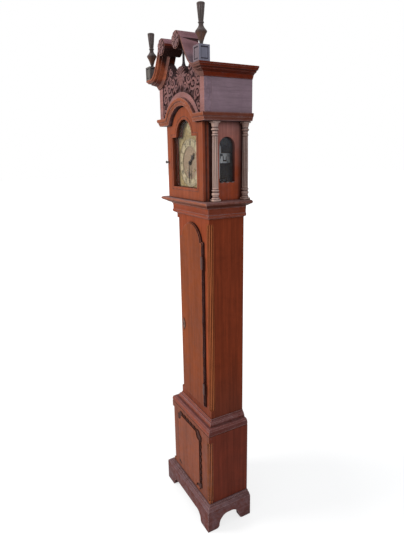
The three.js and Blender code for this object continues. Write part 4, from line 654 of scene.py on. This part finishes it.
def dial_marks(material):
    """Roman hours, minute bars and ring lines, a little proud of the chapter ring."""
    low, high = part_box("chapter_ring")
    centre = middle("chapter_ring")
    outer = (high[X] - low[X]) / 2 / MM
    front = low[Y] - 0.12 * MM
    verts = []
    faces = []

    # Everything below is in millimetres, across and up from the dial's centre.
    def plate(corners):
        first = len(verts)
        for depth in (front, front + 0.2 * MM):
            verts.extend((centre[X] + across * MM, depth, centre[Z] + up * MM) for across, up in corners)
        count = len(corners)
        faces.append([first + i for i in range(count)])
        for i in range(count):
            j = (i + 1) % count
            faces.append([first + i, first + i + count, first + j + count, first + j])

    def bar(angle, bottom, foot, top, head, half):
        """A stroke between two levels on the radius at an angle. bottom and top are its places across."""
        points = [(bottom - half, foot), (bottom + half, foot), (top + half, head), (top - half, head)]
        sine = math.sin(angle)
        cosine = math.cos(angle)
        plate([(sine * up + cosine * across, cosine * up - sine * across) for across, up in points])

    def letter(angle, kind, left, right, foot, head):
        centred = (left + right) / 2
        if kind == "I":
            bar(angle, centred, foot, centred, head, STEM)
        elif kind == "V":
            bar(angle, centred, foot, left, head, THICK)
            bar(angle, centred, foot, right, head, THIN)
        else:
            bar(angle, right, foot, left, head, THICK)
            bar(angle, left, foot, right, head, THIN)
        for level in (foot, head - SERIF):
            bar(angle, centred, level, centred, level + SERIF, (right - left) / 2 + 0.7)

    for hour, kinds in enumerate(HOURS):
        across = -sum(LETTER_WIDTHS[kind] for kind in kinds) / 2
        for kind in kinds:
            end = across + LETTER_WIDTHS[kind]
            letter(
                math.radians(30 * hour), kind, across + THICK, end - THICK,
                outer - NUMERAL_FOOT, outer - NUMERAL_HEAD,
            )
            across = end
    for minute in range(60):
        half = 0.55 if minute % 5 == 0 else 0.28
        bar(math.radians(6 * minute), 0, outer - MINUTE_FOOT, 0, outer - MINUTE_HEAD, half)
    for inwards in RING_LINES:
        near = outer - inwards
        far = near + RING_LINE_WIDTH
        for i in range(96):
            a = math.radians(i * 3.75)
            b = math.radians((i + 1) * 3.75)
            plate([(r * math.sin(t), r * math.cos(t)) for r, t in ((near, a), (far, a), (far, b), (near, b))])
    mesh = bpy.data.meshes.new("dial_marks")
    mesh.from_pydata(verts, [], faces)
    piece("dial_marks", mesh, "case", material)


HUB_RADIUS = 7
BLADE_DEPTH = 3


def broad_hand(node, material, grow):
    """A hand whose blade is broader to each side than the solid's. Its hub and wheel are the same."""
    mesh = frame["nodes"][node].data.copy()
    pin = next(joint for joint in frame["joints"] if joint["child"] == node)["pos_m"]
    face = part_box(node)[0][Y]
    moves = []
    for vertex in mesh.vertices:
        away = math.hypot(vertex.co.x - pin[X], vertex.co.z - pin[Z])
        flat = Vector((vertex.normal.x, 0, vertex.normal.z))
        if away > HUB_RADIUS * MM and vertex.co.y < face + BLADE_DEPTH * MM and flat.length > 0.2:
            moves.append((vertex, flat.normalized() * grow))
    for vertex, move in moves:
        vertex.co += move
    mesh.materials.clear()
    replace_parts(piece(f"{node}_broad", mesh, node, material), node)


# Front and rear from the back plane, and bottom and top from the dial's centre, in millimetres.
STRAPS = [
    (-57, -54, 12, 55), (-57, -46, -3, 29), (-57, -16, 20, 30), (-30, -16, -2, 22),
    (-48, -24, -3, 3), (-42, -34, 8, 21),
]
STRAP_THICKNESS = 3


def straps(material):
    """The bright steel straps behind the movement that show through the right side window."""
    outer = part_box("movement_frame")[1][X]
    centre = middle("chapter_ring")[Z]
    build = bmesh.new()
    for front, rear, bottom, top in STRAPS:
        low = (outer - STRAP_THICKNESS * MM, BACK_PLANE + front * MM, centre + bottom * MM)
        high = (outer, BACK_PLANE + rear * MM, centre + top * MM)
        block(build, low, high, 0.4 * MM)
    piece("movement_straps", to_mesh(build, "movement_straps"), "case", material)


def gut_line(node, material):
    """A weight's line. It shortens towards its fixed end while the weight's travel winds it up."""
    low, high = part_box(node)
    centre = middle(node)
    radius = (high[X] - low[X]) / 2 * 0.9
    around = 12
    levels = 90
    build = bmesh.new()
    rings = []
    for i in range(levels + 1):
        share = i / levels
        ring = []
        for k in range(around):
            angle = 2 * math.pi * k / around
            reach = radius * (1 + 0.1 * math.cos(3 * angle + 60 * math.pi * share))
            place = (centre[X] + reach * math.cos(angle), centre[Y] + reach * math.sin(angle))
            ring.append(build.verts.new((*place, low[Z] + (high[Z] - low[Z]) * share)))
        rings.append(ring)
    skin(build, rings)
    thing = piece(f"{node}_gut", to_mesh(build, f"{node}_gut"), "case", material, True)
    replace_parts(thing, node)
    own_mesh(thing)


def gut_lines(material):
    for joint in frame["joints"]:
        for held in joint.get("deforming_nodes", []):
            gut_line(held["node"], material)


def turned(name, node, material, rows, flutes=0, cut=0.0, span=(0.0, 0.0), blocks=(), soften=4.0):
    """A lathe's work on a hood node's axis, from (radius, level) rows in millimetres above its foot.

    Flutes are cut between the two levels of span and fade in and out over soften. blocks are square ends,
    given as half the width, bottom and top.
    """
    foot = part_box(node)[0][Z]
    centre = middle(node)
    around = 64
    build = bmesh.new()
    rings = []
    for radius, level in rows:
        ease = 0.0
        if flutes:
            ease = max(0.0, min(1.0, (level - span[0]) / soften, (span[1] - level) / soften))
        ring = []
        for i in range(around):
            angle = 2 * math.pi * i / around
            reach = radius - cut * math.sqrt(ease) * (0.5 + 0.5 * math.cos(flutes * angle)) ** 0.7
            place = (centre[X] + reach * MM * math.cos(angle), centre[Y] + reach * MM * math.sin(angle))
            ring.append(build.verts.new((*place, foot + level * MM)))
        rings.append(ring)
    skin(build, rings)
    for half, bottom, top in blocks:
        low = (centre[X] - half * MM, centre[Y] - half * MM, foot + bottom * MM)
        high = (centre[X] + half * MM, centre[Y] + half * MM, foot + top * MM)
        block(build, low, high, 0.7 * MM)
    mesh = to_mesh(build, name)
    thing = piece(name, mesh, "hood", material, True)
    mesh.set_sharp_from_angle(angle=math.radians(38))
    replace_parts(thing, node)


def bulge(radius, out, bottom, top):
    """A half-round ring between two levels."""
    steps = 5
    rows = []
    for i in range(steps + 1):
        turn = math.pi * i / steps
        level = (bottom + top) / 2 - (top - bottom) / 2 * math.cos(turn)
        rows.append((radius + out * math.sin(turn), level))
    return rows


COLUMN_FLUTES = 10
SHAFT = (40, 207)


def colonnettes(material):
    foot = [
        (12.0, 6.9), *bulge(11.2, 1.4, 7, 12.5), (11.0, 13), (10.4, 14.5), (10.0, 17), (10.1, 19),
        (11.9, 20.5), (12.1, 21), (12.1, 27), (11.6, 27.8), (9.9, 28.6), (9.8, 31), (10.2, 32.5),
        *bulge(10.6, 1.8, 33, 37.5), (10.6, 38), (10.5, 39), (10.2, 39.5),
    ]
    shaft = [(10.2, 41.5), (10.2, 43), (10.2, 45), (8.75, 202), (8.7, 204), (8.68, 205.5)]
    for i in range(15):
        share = i / 14
        shaft.append((10.2 - 1.55 * share ** 1.4, SHAFT[0] + (SHAFT[1] - SHAFT[0]) * share))
    shaft.sort(key=lambda row: row[1])
    head = [
        *bulge(8.9, 1.4, 207.5, 211.5), (8.9, 212), (8.4, 213.5), (8.3, 217), (8.5, 221.5),
        *bulge(9.4, 2.7, 222.5, 229), (9.3, 229.5), (9.1, 232), (9.3, 234), (10.2, 234.6), (10.4, 236),
        (10.8, 238.5), (12.2, 243.5), (12.3, 246.9),
    ]
    blocks = ((12.8, 0, 7), (12.8, 246.7, 251.7))
    for end in ("front", "rear"):
        for side in ("right", "left"):
            node = f"column_{end}_{side}"
            turned(f"{node}_turned", node, material, foot + shaft + head, COLUMN_FLUTES, 1.5, SHAFT, blocks)


def finials(material, stem):
    """Two tall vases over a knop on the blocks, and a small one on a stem over the shell."""
    rows = [
        (5.2, 0), (5.3, 2), (5.1, 4.4), (6.0, 8.5), (7.6, 13.5), (10.4, 21.5), (13.6, 28), (16.0, 32),
        (17.1, 34), (17.3, 35.4), (16.8, 37), (15.4, 39), (12.4, 42.5), (9.6, 46), (7.8, 49.5),
        (6.9, 53), (6.9, 55.5), *bulge(7.2, 1.7, 57, 61), (7.0, 61.8), (7.3, 63.5),
    ]
    for i in range(1, 15):
        share = i / 14
        rows.append((7.3 + 4.9 * share ** 0.8, 63.5 + 44.5 * share))
    rows += [(11.6, 109), (10.6, 110), (7.5, 110)]
    for side in ("right", "left"):
        node = f"finial_{side}"
        turned(f"{node}_turned", node, material, rows, 12, 1.3, (64, 108.5), soften=6.0)
    rows = [
        (7.4, 0), (7.3, 1.6), (6.2, 4), (5.0, 8), (4.2, 14), (3.9, 24), (3.8, 40), (3.9, 52), (4.6, 55),
        *bulge(5.0, 2.4, 56, 64), (4.6, 65), (3.9, 68), (3.8, 72), (4.4, 76), (5.6, 83), (6.6, 90),
        (7.2, 96), (7.0, 97.6), (5.0, 98),
    ]
    turned("finial_centre_turned", "finial_centre", stem, rows)


# The functions named blot add the marks of one piece to its base colour.


def door_blot(g, base, px, py, pz):
    """A dark, uneven line of painted shadow lies along the hinge side of the trunk door, and its foot is
    duller.
    """
    low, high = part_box("trunk_door")
    sway = g.noise(g.stretched(), 26.0, 3.0, 0.6)
    place = g.math("ADD", px, g.ramp(sway, 0.3, 0.7, -3 * MM, 3 * MM))
    line = g.product(
        g.ramp(place, high[X] - 6.5 * MM, high[X] - 4 * MM),
        g.ramp(pz, high[Z] - 51 * MM, high[Z] - 81 * MM), 0.9,
    )
    foot = g.ramp(pz, low[Z] + 180 * MM, low[Z] + 20 * MM, 0.0, 0.35)
    base = g.paint(foot, base, (0.15, 0.045, 0.03))
    # The line is a painted shadow of the gap at the door's edge.
    return g.paint(line, base, (0.035, 0.008, 0.007))


def trunk_blot(g, base, px, py, pz):
    """The trunk's stiles are a brighter red than its head, and its lower end is duller."""
    low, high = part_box("trunk_door")
    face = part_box("trunk_front")[0][Y]
    stile = g.product(
        g.ramp(g.absolute(px), high[X] + 0.5 * MM, high[X] + 2 * MM),
        g.ramp(py, face + 1 * MM, face + 0.2 * MM),
        g.ramp(pz, high[Z] - 21 * MM, high[Z] - 81 * MM), 0.6,
    )
    base = g.paint(stile, base, (0.42, 0.092, 0.038))
    foot = g.ramp(pz, low[Z] + 180 * MM, low[Z] - 20 * MM, 0.0, 0.55)
    return g.paint(foot, base, (0.12, 0.034, 0.022))


def reeded(half, front, radius, low, high, under=None):
    """Marks painted shade in a quarter column's flutes and a painted highlight on its fillets, over another
    blot.
    """
    flutes = 4

    def blot(g, base, px, py, pz):
        base = under(g, base, px, py, pz) if under else base
        across = g.minus(g.absolute(px), half - radius)
        depth = g.minus(front + radius, py)
        within = g.product(
            g.ramp(across, 0.0, 0.6 * MM), g.ramp(depth, 0.0, 0.6 * MM),
            g.ramp(pz, low, low + 4 * MM), g.ramp(pz, high, high - 4 * MM), 0.9,
        )
        turn = g.math("FRACT", g.product(g.math("ARCTAN2", across, depth), 2 * flutes / math.pi))
        off = g.apart(turn, 0.5)
        # Painted highlight on the fillets, then painted shade in the flutes.
        base = g.paint(g.product(within, g.ramp(off, 0.28, 0.4)), base, AMBER)
        return g.paint(g.product(within, g.ramp(off, 0.27, 0.12)), base, (0.05, 0.012, 0.006))

    return blot


def panel_blot(g, base, px, py, pz):
    """The border round the raised field of the base panel is nearly black with painted shade, except at its
    foot.
    """
    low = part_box("base_panel")[0]
    sunk = g.ramp(py, low[Y] + 0.3 * MM, low[Y] + 0.6 * MM)
    above_foot = g.ramp(pz, low[Z] + 8 * MM, low[Z] + 16 * MM)
    return g.paint(g.product(sunk, above_foot, 0.88), base, (0.03, 0.011, 0.009))


def hood_side_blot(g, base, px, py, pz):
    """Painted shadow behind the hood's columns, and a greyed upper part."""
    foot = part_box("hood_side_right")[0][Z]
    front_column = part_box("column_front_right")[1][Y]
    rear_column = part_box("column_rear_right")[0][Y]
    grey = g.ramp(pz, foot + 95 * MM, foot + 235 * MM, 0.0, 0.7)
    base = g.paint(grey, base, (0.4, 0.2, 0.18))
    front = g.ramp(py, front_column - 0.5 * MM, front_column - 16.5 * MM)
    rear = g.ramp(py, rear_column - 9 * MM, rear_column + 13 * MM)
    # Painted shadow behind the columns.
    return g.paint(g.product(g.math("MAXIMUM", front, rear), 0.93), base, (0.02, 0.008, 0.006))


def hood_door_blot(g, base, px, py, pz):
    """The rear half of the door's hinge side is dark where the columns shade it."""
    low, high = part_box("hood_door")
    side = g.ramp(px, high[X] - 0.6 * MM, high[X] - 0.1 * MM)
    rear = g.ramp(py, low[Y] + 7 * MM, low[Y] + 11 * MM)
    return g.paint(g.product(side, rear, 0.9), base, (0.045, 0.012, 0.008))


def column_blot(g, base, px, py, pz):
    """Painted shade in the flutes and grooves, and over the rear columns, which are darker than the front
    ones.
    """
    grooves = (14.5, 30.5, 39.2, 206, 212.8, 221.5, 231.5)
    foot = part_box("column_front_right")[0][Z]
    front = middle("column_front_right")
    rear = middle("column_rear_right")
    halfway = (front[Y] + rear[Y]) / 2
    behind = g.ramp(py, halfway, halfway + 1 * MM)
    across = g.minus(g.absolute(px), front[X])
    turn = g.math("ARCTAN2", g.minus(py, g.between(behind, front[Y], rear[Y])), across)
    off = g.apart(g.math("FRACT", g.product(turn, COLUMN_FLUTES / (2 * math.pi))), 0.5)
    low = foot + (SHAFT[0] + 2) * MM
    high = foot + SHAFT[1] * MM
    shaft = g.product(g.ramp(pz, low, low + 4 * MM), g.ramp(pz, high, high - 4 * MM))
    # soil here is painted shade in the flutes and the grooves.
    soil = g.product(g.ramp(off, 0.2, 0.36), shaft)
    for level in grooves:
        soil = g.math("MAXIMUM", soil, g.ramp(g.apart(pz, foot + level * MM), 1.9 * MM, 0.8 * MM))
    # Painted shade over the rear columns, then in the flutes and grooves.
    base = g.paint(g.product(behind, 0.48), base, (0.12, 0.06, 0.04))
    return g.paint(g.product(soil, 0.92), base, (0.07, 0.03, 0.022))


def finial_blot(g, base, px, py, pz):
    """The cup under a finial's knop kept its red colour."""
    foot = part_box("finial_right")[0][Z]
    cup = g.product(
        g.ramp(pz, foot + 8.7 * MM, foot + 13.7 * MM), g.ramp(pz, foot + 36.7 * MM, foot + 29.7 * MM), 0.85,
    )
    return g.paint(cup, base, (0.105, 0.048, 0.024))


def block_blot(g, base, px, py, pz):
    """The left block is olive, and each block has a shadow line at the head and foot of its sunk panels."""
    margin = 6.5 * MM
    half_panel = 12 * MM
    low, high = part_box("finial_block_right")
    centre = middle("finial_block_right")
    base = g.paint(g.ramp(px, 0.0, -10 * MM, 0.0, 0.85), base, (0.13, 0.12, 0.1))
    off = g.apart(g.apart(pz, centre[Z]), (high[Z] - low[Z]) / 2 - margin)
    near = g.math("MINIMUM", g.apart(g.absolute(px), centre[X]), g.apart(py, centre[Y]))
    line = g.product(
        g.ramp(off, 2.2 * MM, 1.2 * MM), g.ramp(near, half_panel + 0.5 * MM, half_panel - 0.5 * MM), 0.85,
    )
    return g.paint(line, base, (0.02, 0.018, 0.025))


def cornice_blot(g, base, px, py, pz):
    """The left neck is redder, and the right neck's low upper face greyer with a painted sheen.

    The scrolls' outer flanks are mauve with a painted sheen, and their undersides nearly black with painted
    shade.
    """
    nx, ny, nz = g.parts(g.normal())
    eye = middle("rosette_right")
    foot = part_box("cornice_left")[0][Z]
    off = g.absolute(px)
    neck = g.product(
        g.ramp(px, -eye[X] - 31 * MM, -eye[X] - 46 * MM), g.ramp(nz, 0.5, 0.3),
        g.ramp(pz, foot + 22.5 * MM, foot + 32.5 * MM), 0.85,
    )
    base = g.paint(neck, base, (0.35, 0.09, 0.037))
    # Painted sheen on the right neck's low upper face.
    grey = g.product(
        g.ramp(nz, 0.2, 0.5), g.ramp(pz, eye[Z] - 35 * MM, eye[Z] - 60 * MM), g.ramp(px, 0.0, 10 * MM),
    )
    base = g.paint(grey, base, (0.25, 0.163, 0.184))
    # Painted sheen on the scrolls' outer flanks.
    flank = g.product(
        g.ramp(off, eye[X] - 4 * MM, eye[X] + 6 * MM), g.ramp(g.product(nx, g.math("SIGN", px)), 0.1, 0.3),
        g.ramp(pz, eye[Z] - 38 * MM, eye[Z] - 32 * MM), g.ramp(nz, -0.75, -0.5),
    )
    base = g.paint(flank, base, (0.3, 0.15, 0.165))
    # Painted shade under the scrolls.
    below = g.product(
        g.ramp(off, eye[X] + 42 * MM, eye[X] + 30 * MM), g.ramp(nz, 0.25, -0.2), g.ramp(ny, -0.8, -0.5), 0.95,
    )
    return g.paint(below, base, (0.02, 0.008, 0.006))


def carved_blot(g, base, px, py, pz):
    """The carved ground is nearly black with dirt and painted shade, its border redder than its leaves, its
    ends like the frieze.
    """
    low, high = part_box("tympanum")
    field = high[X] - 26.5 * MM
    off = g.absolute(px)
    border = g.ramp(py, low[Y] + 0.35 * MM, low[Y] + 0.15 * MM, 0.0, 0.5)
    base = g.paint(border, base, (0.4, 0.17, 0.145))
    # The deeper ground gets dirt and painted shade.
    depth = g.ramp(py, low[Y] + 2.55 * MM, low[Y] + 6.25 * MM, 0.0, 0.93)
    ground = g.product(depth, g.ramp(off, field - 0.3 * MM, field + 0.3 * MM, 1.0, 0.0))
    base = g.paint(ground, base, (0.05, 0.019, 0.017))
    # The ends take the frieze's painted sheen.
    return g.paint(g.ramp(off, high[X] - 0.8 * MM, high[X] - 0.2 * MM), base, (0.26, 0.172, 0.21))


def dial_blot(g, base, px, py, pz):
    """The middle of the dial is a pinkish grey, and its corners and arch are gold."""
    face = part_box("dial_plate")[0][Y]
    low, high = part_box("chapter_ring")
    outer = (high[X] - low[X]) / 2
    up = g.minus(pz, middle("chapter_ring")[Z])
    reach = g.math("SQRT", g.math("ADD", g.product(px, px), g.product(up, up)))
    centre = g.product(g.ramp(reach, outer - 24 * MM, outer - 26 * MM), 0.85)
    base = g.paint(centre, base, (0.33, 0.225, 0.17))
    proud = g.ramp(py, face + 1.6 * MM, face + 0.4 * MM)
    corners = g.product(proud, g.ramp(reach, outer + 2 * MM, outer + 4 * MM), 0.8)
    return g.paint(corners, base, (0.62, 0.5, 0.26))


# What the mouldings share.
MOULDING = {"axis": X, "rail": True, "grime_and_shade": 1.0, "edge": PINK, "reach": 8 * MM, "worn": 2.8 * MM}


def dress_base():
    low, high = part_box("base_front")
    reeds = reeded(high[X], low[Y], 17 * MM, low[Z] + 12 * MM, high[Z] - 26 * MM)
    front = wood(
        "base_mahogany", (0.23, 0.068, 0.036), (0.16, 0.03, 0.015), bloom=0.15, edge=AMBER, reach=6 * MM,
        grime_and_shade=0.9, blot=reeds,
    )
    dress(front, "base_front")
    # The panel's edge and upper faces are nearly black with painted shade.
    panel = wood(
        "panel_mahogany", (0.265, 0.074, 0.036), (0.03, 0.01, 0.008), (0.03, 0.01, 0.008), bloom=0.12,
        grime_and_shade=0.9, blot=panel_blot,
    )
    dress(panel, "base_panel")
    # The sides' colour is darker than the front's: painted shade.
    side = wood("base_side_mahogany", (0.2, 0.04, 0.02), (0.162, 0.032, 0.018), grime_and_shade=0.5)
    dress(side, "base_side_right", "base_side_left")
    plinth = wood(
        "plinth_mahogany", (0.13, 0.038, 0.03), (0.125, 0.045, 0.04), (0.16, 0.08, 0.08), bloom=0.4,
        wear_and_highlight=1.0, **MOULDING,
    )
    dress(plinth, "plinth_with_bracket_feet")
    waist = wood(
        "waist_mahogany", (0.25, 0.06, 0.032), (0.12, 0.031, 0.024), (0.18, 0.06, 0.052), bloom=0.15,
        wear_and_highlight=1.0, **MOULDING,
    )
    dress(waist, "waist_moulding")


def dress_trunk():
    # The door's edge and upper faces are nearly black with painted shade.
    door = wood(
        "door_mahogany", (0.24, 0.055, 0.016), (0.03, 0.008, 0.007), (0.03, 0.008, 0.008), bloom=0.06,
        blot=door_blot, edge=PINK, wear_and_highlight=0.5, worn=2 * MM,
    )
    dress(door, "trunk_door")
    low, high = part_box("trunk_column_right")
    reeds = reeded(high[X], low[Y], high[X] - low[X], low[Z], high[Z], trunk_blot)
    front = wood(
        "trunk_mahogany", (0.28, 0.056, 0.02), (0.22, 0.038, 0.013), edge=AMBER, wear_and_highlight=0.5, reach=6 * MM,
        grime_and_shade=0.9, blot=reeds,
    )
    dress(front, "trunk_front", "trunk_column_right", "trunk_column_left")
    # The sides' colour is darker than the front's: painted shade.
    side = wood("side_mahogany", (0.2, 0.036, 0.012), (0.205, 0.036, 0.013), grime_and_shade=0.5, blot=trunk_blot)
    dress(side, "trunk_side_right", "trunk_side_left")
    bronze = metal(
        "dark_bronze", (0.09, 0.032, 0.024), 0.45, (0.035, 0.014, 0.012), spots=160.0, metallic=0.3,
    )
    dress(bronze, "trunk_hinge_lower", "trunk_hinge_upper")
    escutcheon = metal(
        "worn_escutcheon", (0.14, 0.05, 0.026), 0.5, (0.07, 0.028, 0.018), spots=160.0, metallic=0.2,
    )
    dress(escutcheon, "trunk_escutcheon")
    throat = wood(
        "throat_mahogany", (0.28, 0.055, 0.019), (0.225, 0.044, 0.0185), (0.2, 0.09, 0.08), bloom=0.08,
        wear_and_highlight=1.0, under=-0.6, **MOULDING,
    )
    dress(throat, "throat_moulding")


def dress_hood():
    rail = wood(
        "rail_mahogany", (0.29, 0.078, 0.032), (0.135, 0.032, 0.016), (0.22, 0.11, 0.1), bloom=0.08,
        wear_and_highlight=0.9, under=-0.6, **MOULDING,
    )
    dress(rail, "architrave", "hood_base_moulding")
    front = wood(
        "hood_mahogany", (0.28, 0.066, 0.025), (0.27, 0.06, 0.026), bloom=0.06, blot=hood_door_blot,
        edge=PINK, wear_and_highlight=0.5,
    )
    dress(front, "hood_door", "dial_mask")
    # The window sills' upper faces are pale with a painted highlight.
    side = wood(
        "hood_side_mahogany", (0.2, 0.05, 0.03), (0.32, 0.062, 0.024), (0.6, 0.46, 0.44), bloom=0.1,
        blot=hood_side_blot, contrast=1.2,
    )
    dress(side, "hood_side_right", "hood_side_left")
    dress(glass("door_glass", 0.05, (0.06, 0.06, 0.055)), "hood_door_glass")
    # The side windows' bluish grey film is dust and a painted reflection.
    dress(glass("side_glass", 0.1, (0.15, 0.17, 0.2)), "side_glass_right", "side_glass_left")


def dress_pine():
    """The boards that are not seen. The seat board is dark."""
    pine = wood("old_pine", (0.24, 0.13, 0.065), (0.2, 0.11, 0.055), (0.2, 0.12, 0.07), rough=0.8, bloom=0.3)
    dress(pine, "backboard", "base_floor", "roof_board")
    dark_seat = wood("dark_seat_pine", (0.05, 0.03, 0.02), (0.05, 0.03, 0.02), (0.06, 0.04, 0.03), rough=0.8)
    dress(dark_seat, "seat_board")


def dress_pediment():
    # The cornice's upper faces are mauve grey with a painted sheen, and its sides dark with painted shade.
    cornice = wood(
        "cornice_mahogany", (0.18, 0.075, 0.058), (0.14, 0.017, 0.0035), (0.34, 0.17, 0.19), X, True,
        bloom=0.05, grime_and_shade=1.0, wear_and_highlight=0.45, reach=8 * MM, slope=(0.12, 0.4), edge=PINK, blot=cornice_blot,
        under=-0.7,
    )
    dress(cornice, "cornice_right", "cornice_left")
    # The frieze's mauve grey, strongest on its sides, is a painted sheen.
    frieze = wood(
        "frieze_mahogany", (0.22, 0.12, 0.12), (0.26, 0.175, 0.21), axis=Y, figure=0.8, bloom=0.35,
        rough=0.65, grime_and_shade=0.4, contrast=0.5,
    )
    dress(frieze, "frieze_right", "frieze_left")
    rosette = wood(
        "rosette_mahogany", (0.24, 0.12, 0.11), (0.2, 0.12, 0.12), grime_and_shade=1.0, bloom=0.4, reach=4 * MM,
    )
    dress(rosette, "rosette_right", "rosette_left")
    # The blocks' bluish sides are a painted sheen.
    ends = wood(
        "block_wood", (0.2, 0.15, 0.17), (0.23, 0.22, 0.28), (0.2, 0.17, 0.19), grime_and_shade=1.0, reach=4 * MM,
        blot=block_blot, cavity=(0.5, 0.97),
    )
    dress(ends, "finial_block_right", "finial_block_left")
    carved = wood(
        "carved_mahogany", (0.27, 0.125, 0.115), (0.25, 0.14, 0.15), (0.25, 0.12, 0.11), X, grime_and_shade=1.0,
        wear_and_highlight=0.4, bloom=0.3, rough=0.65, blot=carved_blot, reach=6 * MM, edge=(0.45, 0.29, 0.27),
    )
    dress(carved, "tympanum")
    tympanum(carved)


def dress_dial():
    matted = metal(
        "matted_brass", (0.52, 0.39, 0.17), 0.45, (0.2, 0.14, 0.06), spots=190.0, metallic=0.3, relief=0.6,
        soil=1.0, blot=dial_blot, patchy=(0.46, 0.6),
    )
    dress(matted, "dial_plate")
    silver = metal(
        "silvered_brass", (0.6, 0.49, 0.3), 0.5, (0.3, 0.24, 0.14), spots=190.0, metallic=0.2,
        patchy=(0.45, 0.6),
    )
    dress(silver, "chapter_ring")
    wax = metal("black_wax", (0.012, 0.01, 0.009), 0.6, (0.03, 0.026, 0.02), spots=200.0, metallic=0.0)
    dial_marks(wax)
    blued = metal("blued_steel", (0.03, 0.016, 0.012), 0.5, (0.05, 0.03, 0.025), spots=90.0, metallic=0.2)
    dress(blued, "hood_door_knob", "minute_hand", "hour_hand")
    broad_hand("minute_hand", blued, 0.9 * MM)
    broad_hand("hour_hand", blued, 1.1 * MM)


def dress_movement():
    brass = metal(
        "aged_brass", (0.5, 0.39, 0.2), 0.34, (0.34, 0.25, 0.12), spots=90.0, metallic=0.8,
        patchy=(0.4, 0.75),
    )
    dress(brass, "escape_wheel", "pendulum", "going_barrel", "strike_barrel", "going_weight", "strike_weight")
    dress(metal("cut_steel", (0.5, 0.5, 0.52), 0.3, (0.3, 0.28, 0.26)), "anchor")
    plates = metal("bright_plates", (0.95, 0.95, 0.95), 0.4, (0.75, 0.75, 0.75), metallic=0.1)
    dress(plates, "movement_frame")
    straps(plates)
    string = gut("gut_string")
    dress(string, "going_line", "strike_line")
    gut_lines(string)


def dress_columns():
    pale = wood(
        "column_wood", (0.64, 0.42, 0.34), (0.6, 0.4, 0.34), (0.5, 0.37, 0.33), figure=2.0, grime_and_shade=1.0,
        wear_and_highlight=1.0, bloom=0.15, reach=4.5 * MM, edge=(0.9, 0.78, 0.72), cavity=(0.45, 0.95), blot=column_blot,
    )
    dress(pale, "column_front_right", "column_rear_right", "column_front_left", "column_rear_left")
    colonnettes(pale)


def dress_finials():
    grey = wood(
        "finial_wood", (0.077, 0.058, 0.052), (0.077, 0.06, 0.053), (0.15, 0.13, 0.12), figure=2.0,
        grime_and_shade=1.0, bloom=0.25, blot=finial_blot, reach=5 * MM, contrast=2.0, wear_and_highlight=1.0,
        edge=(0.35, 0.33, 0.32), cavity=(0.45, 0.95),
    )
    dress(grey, "finial_right", "finial_left", "finial_centre")
    stem = wood("stem_wood", (0.05, 0.045, 0.045), figure=2.0, grime_and_shade=1.0, bloom=0.3, reach=6 * MM)
    finials(grey, stem)


photo_camera()
white_floor()
studio_light()

dress_base()
dress_trunk()
dress_hood()
dress_pine()
dress_pediment()
dress_dial()
dress_movement()
dress_columns()
dress_finials()
